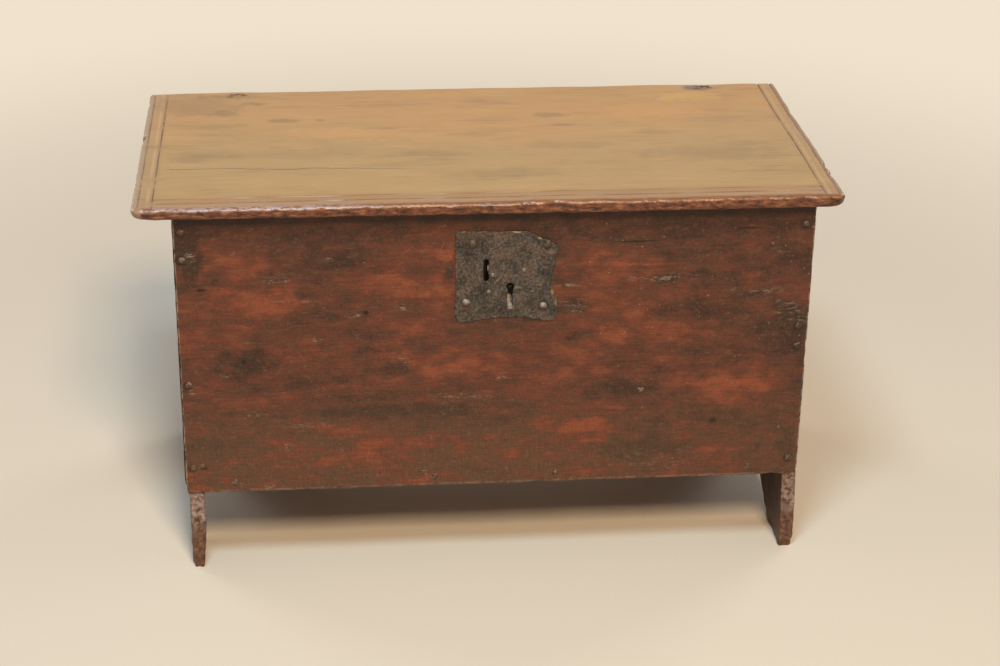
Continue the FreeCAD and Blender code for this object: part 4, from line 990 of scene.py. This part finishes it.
def front_finish():
    """Red-brown oak: grime, worn warm places, pale scuffs, specks and scratches, with painted shade
    and light.
    """
    wood = Shader("front_wood")
    x, y, z = wood.axes()
    blotch = wood.drawn(X, 115, 50, 1, 6, 0.60)
    mottle = wood.drawn(X, 26, 14, 2, 3, 0.5)
    streak = wood.drawn(X, 60, 3.6, 3, 5, 0.7)
    fibre = wood.drawn(X, 13, 1.0, 4, 3)
    grain = wood.drawn(X, 3.6, 2.0, 6, 2, 0.7)
    hatch = wood.drawn(Z, 12, 1.8, 7, 3, 0.6)
    warp = wood.even(30, 5, 5, 0.65)
    leftward = wood.total((-0.45, wood.passing(x, 60, 260)), (1.0, 1.0))
    low = wood.times(wood.passing(z, 280, 160), leftward)

    def patches(places, strength):
        return [(strength * amount, wood.patch((across, FRONT_FACE, up), (wide, 40, tall), warp))
                for across, up, wide, tall, amount in places]

    # The fall in heat near the top edge is painted shade under the lid.
    heat = wood.total((0.50, blotch), (0.34, mottle), (0.16, streak),
                      (-0.08, wood.near(z, BOARD_TOP, 80)), (-0.02, wood.passing(x, 50, 350)),
                      *patches(FRONT_PATCHES, 1.35))
    wood.colour = wood.ramp(heat, *FRONT_TONES)
    wood.lay(BROWNED, 0.62, low, wood.between(heat, 0.60, 0.48))
    tinge = wood.even(5, 11, 3, 0.7)
    wood.lay(OLIVE, 0.38, wood.between(tinge, 0.52, 0.66))
    wood.lay(REDDENED, 0.32, wood.between(tinge, 0.46, 0.34))
    shade = wood.total((0.66, grain), (0.46, fibre), (0.26, streak), (0.36, hatch), (1.0, 0.13))
    wood.colour = wood.mix(1.0, wood.colour, shade, "MULTIPLY")
    wood.lay(SOOT_AND_SHADE, 0.30, wood.between(fibre, 0.40, 0.27))
    wood.lay(FLECK, 0.24, wood.between(wood.drawn(X, 11, 4.5, 21, 5, 0.75), 0.54, 0.70))
    wood.lay(SOOT_AND_SHADE, 0.22, wood.between(wood.drawn(X, 14, 4.5, 23, 5, 0.75), 0.46, 0.32))
    wood.lay(DUST, 0.13, wood.between(hatch, 0.56, 0.70), low)
    # Painted shadow of the lid's overhang across the top of the front.
    wood.lay(SOOT_AND_SHADE, 0.40, wood.near(z, BOARD_TOP, 26))
    broken = wood.total((0.35, grain), (0.65, wood.drawn(X, 12, 2.6, 9, 3, 0.6)))
    broken = wood.between(broken, 0.50, 0.62)
    for amount, scuff in patches(FRONT_SCUFFS, 0.78):
        wood.lay(PALE, amount, scuff, broken)
    for across, up, wide, tall, amount in FRONT_MARKS:
        wood.lay(SOOT_AND_SHADE, amount, wood.spot((across, FRONT_FACE, up), (wide, 20, tall)))
    # Painted shadow round each front nail head, set a little down and to the left.
    for side in ("left", "right"):
        for middle, _ in nail_places(f"front_nails_{side}", Y)[0]:
            nail_shadow = wood.spot((middle[X] - 1.2, FRONT_FACE, middle[Z] - 1), (8.5, 12, 8.5), 0.5)
            wood.lay(SOOT_AND_SHADE, 0.62, nail_shadow)
    busy = wood.between(wood.drawn(X, 90, 60, 8, 4), 0.42, 0.62)
    upper_right = wood.times(wood.passing(x, 20, 160), wood.passing(z, 280, 360))
    small = wood.specks(1.3, 8.5, 0.45, 7)
    large = wood.specks(2.3, 26, 0.40, 8)
    crowd = wood.total((0.65, busy), (0.5, upper_right))
    wood.lay(SPECK, 0.50, wood.times(wood.math("MAXIMUM", small, large), crowd, clamp=True))
    scratches = wood.noise(wood.turned(Y, 62, (1 / 0.030, 9, 1 / 0.0011)), detail=1.5)
    wood.lay(PALE, 0.20, wood.between(scratches, 0.72, 0.79), busy)
    chipped = wood.between(wood.even(9, 9, 3), 0.40, 0.56)
    forward = wood.near(y, FRONT_FACE, 3)
    for line, amount in ((wood.near(x, FRONT_LOW[X] + FRONT_SHORT + 0.6, 1.9), 0.55),
                         (wood.near(x, FRONT_HIGH[X] - 0.6, 2.2), 0.5),
                         (wood.near(z, BOARD_FOOT + 2.2, 2.6), 0.18)):
        wood.lay(PALE, amount, line, chipped, forward)
    within = wood.passing(y, FRONT_FACE + 0.8, FRONT_FACE + 2.2)
    # Painted shade: the hollow behind the lock plate is laid nearly black.
    mortise_shade = wood.spot((12, FRONT_FACE + 9, 412), (80, 60, 66), 0.3)
    wood.lay(SOOT_AND_SHADE, 0.94, within, mortise_shade)
    # Painted light: a very pale patch on the hollow's floor below the keyhole, bright though it lies
    # in shade.
    lit = wood.spot((KEY_X, FRONT_FACE + 10, KEY_Z - 24), (6, 40, 9), 0.4)
    wood.lay(LIT_WOOD, 0.8, within, lit)
    dents = wood.between(wood.even(12, 10, 3), 0.62, 0.78)
    height = wood.total((0.30, fibre), (0.40, streak), (0.30, grain), (-0.5, dents), (0.25, small))
    roughness = wood.total((0.25, heat), (0.12, warp), (0.12, low), (1.0, 0.28))
    return wood.finish(roughness, wood.bump(height, 0.0011, 0.75), 0.28)


def lid_finish():
    """Oak, warm at the rear and khaki at the front, red-brown on the worn nosing, with painted sheen,
    highlights and glints.
    """
    wood = Shader("lid_wood")
    x, y, z = wood.axes()
    blotch = wood.drawn(X, 150, 42, 11, 6, 0.62)
    drift = wood.even(260, 12, 4)
    streak = wood.drawn(X, 80, 5, 13, 5, 0.66)
    fibre = wood.drawn(X, 24, 0.9, 14, 3)
    warp = wood.even(30, 15, 5, 0.65)
    rear = wood.passing(wood.total((1.0, y), (0.30, drift), (0.12, blotch), (1.0, -0.21)), -60, 100)
    wood.colour = wood.mix(rear, *LID_OAK)
    tone = wood.total((0.42, blotch), (0.33, streak), (0.25, fibre))
    wood.lay(LID_DARK, 0.55, wood.between(tone, 0.50, 0.36))
    wood.lay(LID_LIGHT, 0.45, wood.between(tone, 0.52, 0.66))
    for (across, along), radii, stain, amount in LID_STAINS:
        wood.lay(stain, amount, wood.patch((across, along, LID_TOP), radii, warp))
    for hinge in HINGES_X:
        for side in (-9, 10):
            wood.lay(SOOT_AND_SHADE, 0.8, wood.spot((hinge + side, 207 + side / 4, LID_TOP), (7, 4, 20)))
    wander = wood.total((0.02, wood.drawn(X, 60, 400, 16, 3)), (1.0, y), (0.05, x))
    wood.lay(SOOT_AND_SHADE, 0.7, wood.near(wander, CRACK_Y, CRACK_HALF), wood.passing(x, *CRACK_START),
             wood.passing(x, *CRACK_END))
    from_front = wood.math("SUBTRACT", y, LID_LOW[Y] * MM)
    half = (LID_HIGH[X] - LID_LOW[X]) / 2 * MM
    from_end = wood.math("SUBTRACT", half, wood.math("ABSOLUTE", x))
    from_edge = wood.math("MINIMUM", from_front, from_end)
    ragged_edge = wood.total((1.0, from_front), (0.010, warp), (1.0, -0.005))
    wood.lay(MOULDING, 0.55, wood.passing(ragged_edge, 50, 30))
    wood.lay(END_MOULDING, 0.35, wood.passing(from_end, 34, 26))
    # The moulding's grooves are laid darker, in patches.
    patchy = wood.between(warp, 0.30, 0.55)
    inner = wood.passing(from_end, 20, 28)
    for place, amount in zip(FRONT_QUIRKS, (0.65, 0.5)):
        wood.lay(GROOVE, amount, wood.near(from_front, place, 2.0), inner, patchy)
    for place, amount in zip(END_QUIRKS, (0.7, 0.75)):
        wood.lay(GROOVE, amount, wood.near(from_end, place, 2.0), patchy)
    # Painted highlight: a pale line along the ends' moulding, where its arris catches the light.
    wood.lay(ARRIS_HIGHLIGHT, 0.4, wood.near(from_end, 20, 3), wood.between(warp, 0.35, 0.5))
    sheen = wood.total((0.5, wood.near(from_front, 13, 4)), (0.6, wood.near(from_front, 25, 4.5)))
    sheen = wood.times(sheen, wood.between(streak, 0.40, 0.60), clamp=True)
    wood.lay(SHEEN, 0.32, sheen)
    nosing = wood.ramp(wood.drawn(X, 17, 5, 17, 5, 0.68), *NOSING_TONES)
    # Painted light: the nosing's upper rounding is laid lighter, as lit from above.
    upper = wood.passing(z, LID_TOP - 7, LID_TOP - 3)
    nosing = wood.laid(nosing, NOSING_TOP_HIGHLIGHT, 0.5, upper)
    # Painted glints: pale lilac spots on the nosing's top towards the left.
    glint_spots = wood.between(wood.drawn(X, 9, 4, 19, 3, 0.7), 0.42, 0.56)
    nosing = wood.laid(nosing, NOSING_GLINT, 0.5, upper, wood.passing(x, -100, -260), glint_spots)
    nosing = wood.laid(nosing, NOSING_LEFT, 0.8, wood.passing(from_end, 16, 10),
                       wood.passing(x, -300, -400))
    outer = wood.total((1.0, from_edge), (0.006, warp), (1.0, -0.003))
    wood.lay(nosing, 1.0, wood.passing(outer, 10.5, 3.5))
    wood.lay(NOSING_RIGHT, 0.7, wood.passing(from_end, 5.5, 3), wood.passing(x, 300, 400))
    below = wood.passing(z, LID_LOW[Z] + 1.6, LID_LOW[Z] + 0.4)
    under = wood.total((0.45, blotch), (0.35, streak), (0.20, fibre))
    wood.lay(wood.ramp(under, *UNDER_TONES), 1.0, below)
    edge = wood.passing(from_edge, 34, 10)
    facets = wood.times(edge, wood.drawn(X, 9, 5, 18, 2))
    height = wood.total((0.35, fibre), (0.40, streak), (0.25, warp), (1.6, facets))
    roughness = wood.total((0.16, tone), (0.14, warp), (-0.14, edge), (0.30, below), (1.0, 0.27))
    return wood.finish(roughness, wood.bump(height, 0.0007, 0.6), 0.42)


def board_base(name, along, dark, light, dusty, roughness):
    """Plain oak, red-brown outside or raw inside: streaks, pores, stains and dust."""
    wood = Shader(name)
    blotch = wood.drawn(along, 130, 32, 31, 6, 0.64)
    drift = wood.even(150, 32, 4)
    streak = wood.drawn(along, 70, 4, 33, 5, 0.68)
    fibre = wood.drawn(along, 22, 0.9, 34, 3)
    tone = wood.total((0.40, blotch), (0.22, drift), (0.38, streak))
    wood.colour = wood.mix(wood.between(tone, 0.40, 0.62), dark, light)
    wood.lay(SOOT_AND_SHADE, 0.35, wood.between(fibre, 0.45, 0.30))
    wood.lay(DUST, dusty, wood.between(drift, 0.50, 0.72))
    wood.lay(PALE, dusty * 1.4, wood.specks(1.6, 22, 0.4, 35))
    height = wood.total((0.45, fibre), (0.55, streak))
    rough = wood.total((0.16, drift), (0.10, streak), (1.0, roughness - 0.13))
    return wood, rough, height


def plain_board(*choices):
    wood, rough, height = board_base(*choices)
    return wood.finish(rough, wood.bump(height, 0.0010, 0.7))


def end_finish():
    """The ends: like the front, with feet rubbed pale and rough along their edges, and painted glints
    and shade on the feet.
    """
    wood, rough, height = board_base("end_wood", Z, (58, 40, 31), (112, 68, 48), 0.14, 0.52)
    x, y, z = wood.axes()
    chunks = wood.even(7, 41, 3, 0.6)
    fine = wood.even(2.4, 42, 3, 0.6)
    under = wood.passing(z, BOARD_FOOT + 4, BOARD_FOOT - 6)
    edge = wood.times(wood.near(y, FRONT_FACE, 8), under)
    tone = wood.total((0.70, chunks), (0.30, fine))
    # Worn bare wood on the feet's fronts; its palest lilac tones stand for glints, as painted
    # highlights.
    wood.lay(wood.ramp(tone, *BARE_AND_GLINT_TONES), 1.0, edge, wood.passing(z, 44, 70),
             wood.between(chunks, 0.30, 0.46))
    wood.lay(wood.ramp(tone, *TOE_TONES), 0.85, edge, wood.passing(z, 70, 44))
    off = wood.math("ABSOLUTE", wood.math("SUBTRACT", x, MIDDLE_X * MM))
    # Painted shade on the feet's inner faces, which lie under the chest.
    wood.lay(SOOT_AND_SHADE, 0.55, wood.passing(off, 395, 392),
             wood.passing(y, FRONT_FACE + 3, FRONT_FACE + 6))
    height = wood.total((1.0, height), (1.2, wood.times(tone, edge)))
    return wood.finish(rough, wood.bump(height, 0.0016, 0.8), 0.3)


def iron_base(name, dark, middle, light, grain, roughness, metallic):
    """Old forged iron: mottled, pitted and a little rusty, in features of a grain's size."""
    iron = Shader(name)
    mottle = iron.even(grain, 51, 3, 0.52)
    cloud = iron.even(grain * 6, 52, 4)
    pits = iron.cells(iron.stretched([1 / (grain * 0.9 * MM)] * 3))[0]
    tone = iron.total((0.62, mottle), (0.38, cloud))
    iron.colour = iron.ramp(tone, (0.36, dark), (0.49, middle), (0.64, light))
    iron.lay(RUST, 0.25, iron.between(cloud, 0.52, 0.68))
    iron.lay(SOOT_AND_SHADE, 0.30, iron.between(pits, 0.26, 0.10))
    iron.lay(IRON_SPECK, 0.5, iron.specks(1.4, 9, 0.30, 53))
    height = iron.total((0.8, mottle), (0.3, iron.between(pits, 0.10, 0.50)))
    iron.bsdf.inputs["Metallic"].default_value = metallic
    rough = iron.total((0.35, mottle), (0.15, cloud), (1.0, roughness - 0.22))
    return iron, rough, height


def plain_iron(*choices):
    iron, rough, height = iron_base(*choices)
    return iron.finish(rough, iron.bump(height, 0.0009, 0.8))


def plate_finish():
    """The lock plate's iron, with rust, brassy smears, rubbed places and a painted highlight at the
    keyhole's foot.
    """
    iron, rough, height = iron_base(
        "plate_iron", (36, 30, 27), (72, 62, 55), (112, 99, 90), 3.4, 0.62, 0.1)
    for across, up, wide, tall, tint, amount in PLATE_MARKS:
        iron.lay(tint, amount, iron.spot((across, PLATE_LOW[Y], up), (wide, 20, tall), 0.8))
    return iron.finish(rough, iron.bump(height, 0.0010, 0.55), 0.4)


def nail_finish():
    """The nails: brown with old polish; the lock plate's lower two darker, with painted highlights on
    their crowns.
    """
    iron, rough, height = iron_base(
        "nail_iron", (40, 28, 23), (80, 57, 45), (138, 112, 96), 3.2, 0.50, 0.25)
    z = iron.axes()[Z]
    # Painted highlight on the upper part of each of these two heads.
    for across, up in HIGHLIT_NAILS:
        head = iron.spot((across, PLATE_LOW[Y], up), (16, 12, 16), 0.2)
        iron.lay(DULL_HEAD, 0.65, head)
        iron.lay(CROWN_HIGHLIGHT, 0.7, head, iron.passing(z, up - 1, up + 4))
    iron.lay(DULL_CROWN, 0.7, iron.spot((12, PLATE_LOW[Y], 464), (80, 12, 20), 0.2))
    return iron.finish(rough, iron.bump(height, 0.0009, 0.6))


def works_finish():
    """The works: dark iron, nearly black behind the keyhole as painted shade, rubbed bright on the
    rivet heads, with a painted glint on the bolt's nose.
    """
    iron, rough, height = iron_base(
        "works_iron", (26, 22, 19), (50, 43, 38), (84, 74, 66), 3.0, 0.5, 0.4)
    outside = iron.passing(iron.axes()[Y], PLATE_LOW[Y] + 0.4, PLATE_LOW[Y] - 0.2)
    iron.lay(RIVET, 0.8, outside)
    # Painted shade: the works nearly black behind the keyhole.
    iron.lay(SOOT_AND_SHADE, 0.94, iron.spot((KEY_X, FRONT_FACE + 6, KEY_Z - 6), (9, 16, 16), 0.3))
    # Painted glint on the bolt's nose, seen in the plate's slot.
    nose = iron.spot((KEY_X - 28.8, FRONT_FACE, KEY_Z + 26), (3, 4, 4.5))
    iron.lay(BOLT_NOSE_GLINT, 0.9, nose)
    return iron.finish(rough, iron.bump(height, 0.0009, 0.8))


# ---- assembly --------------------------------------------------------------------------------

bpy.context.scene.view_settings.view_transform = "Standard"
make_camera()
for light in LIGHTS:
    area_light(*light)
make_surround()
make_stage()

lid_wood = lid_finish()
front_wood = front_finish()
end_wood = end_finish()
back_wood = plain_board("back_wood", X, (84, 62, 46), (134, 102, 76), 0.30, 0.75)
inner_wood = plain_board("inner_wood", X, *RAW_WOOD)
inner_end_wood = plain_board("inner_end_wood", Z, *RAW_WOOD)
plate_iron = plate_finish()
nail_iron = nail_finish()
hinge_iron = plain_iron("hinge_iron", (34, 28, 26), (62, 52, 48), (98, 84, 78), 2.2, 0.5, 0.5)
works_iron = works_finish()

lid_board(lid_wood)
front_board(front_wood, inner_wood)
back_board(back_wood, inner_wood)
for side in ("left", "right"):
    end_board(side, end_wood, inner_end_wood)
bottom_board(inner_wood)

reworked("forged_lock_plate", "lock_plate", PLATE_VOXEL, hammered_plate, plate_iron,
         "carcass", "plate_iron")
for side in ("left", "right"):
    for board, body in (("lid", "lid"), ("back", "carcass")):
        reworked(f"{side}_{board}_snipe", f"{side}_hinge_{board}_pin", WIRE_VOXEL, hammered_wire,
                 hinge_iron, body, "hinge_iron")

for seed, (row, facing, sign, rise) in enumerate(NAIL_ROWS, start=101):
    nail_heads(row, facing, sign, rise, nail_iron, seed)

for name in ("lock_bolt", "lock_bolt_guide", "lock_bolt_stud", "lock_key_bridge", "lock_spring"):
    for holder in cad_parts[name].material_slots:
        holder.material = works_iron
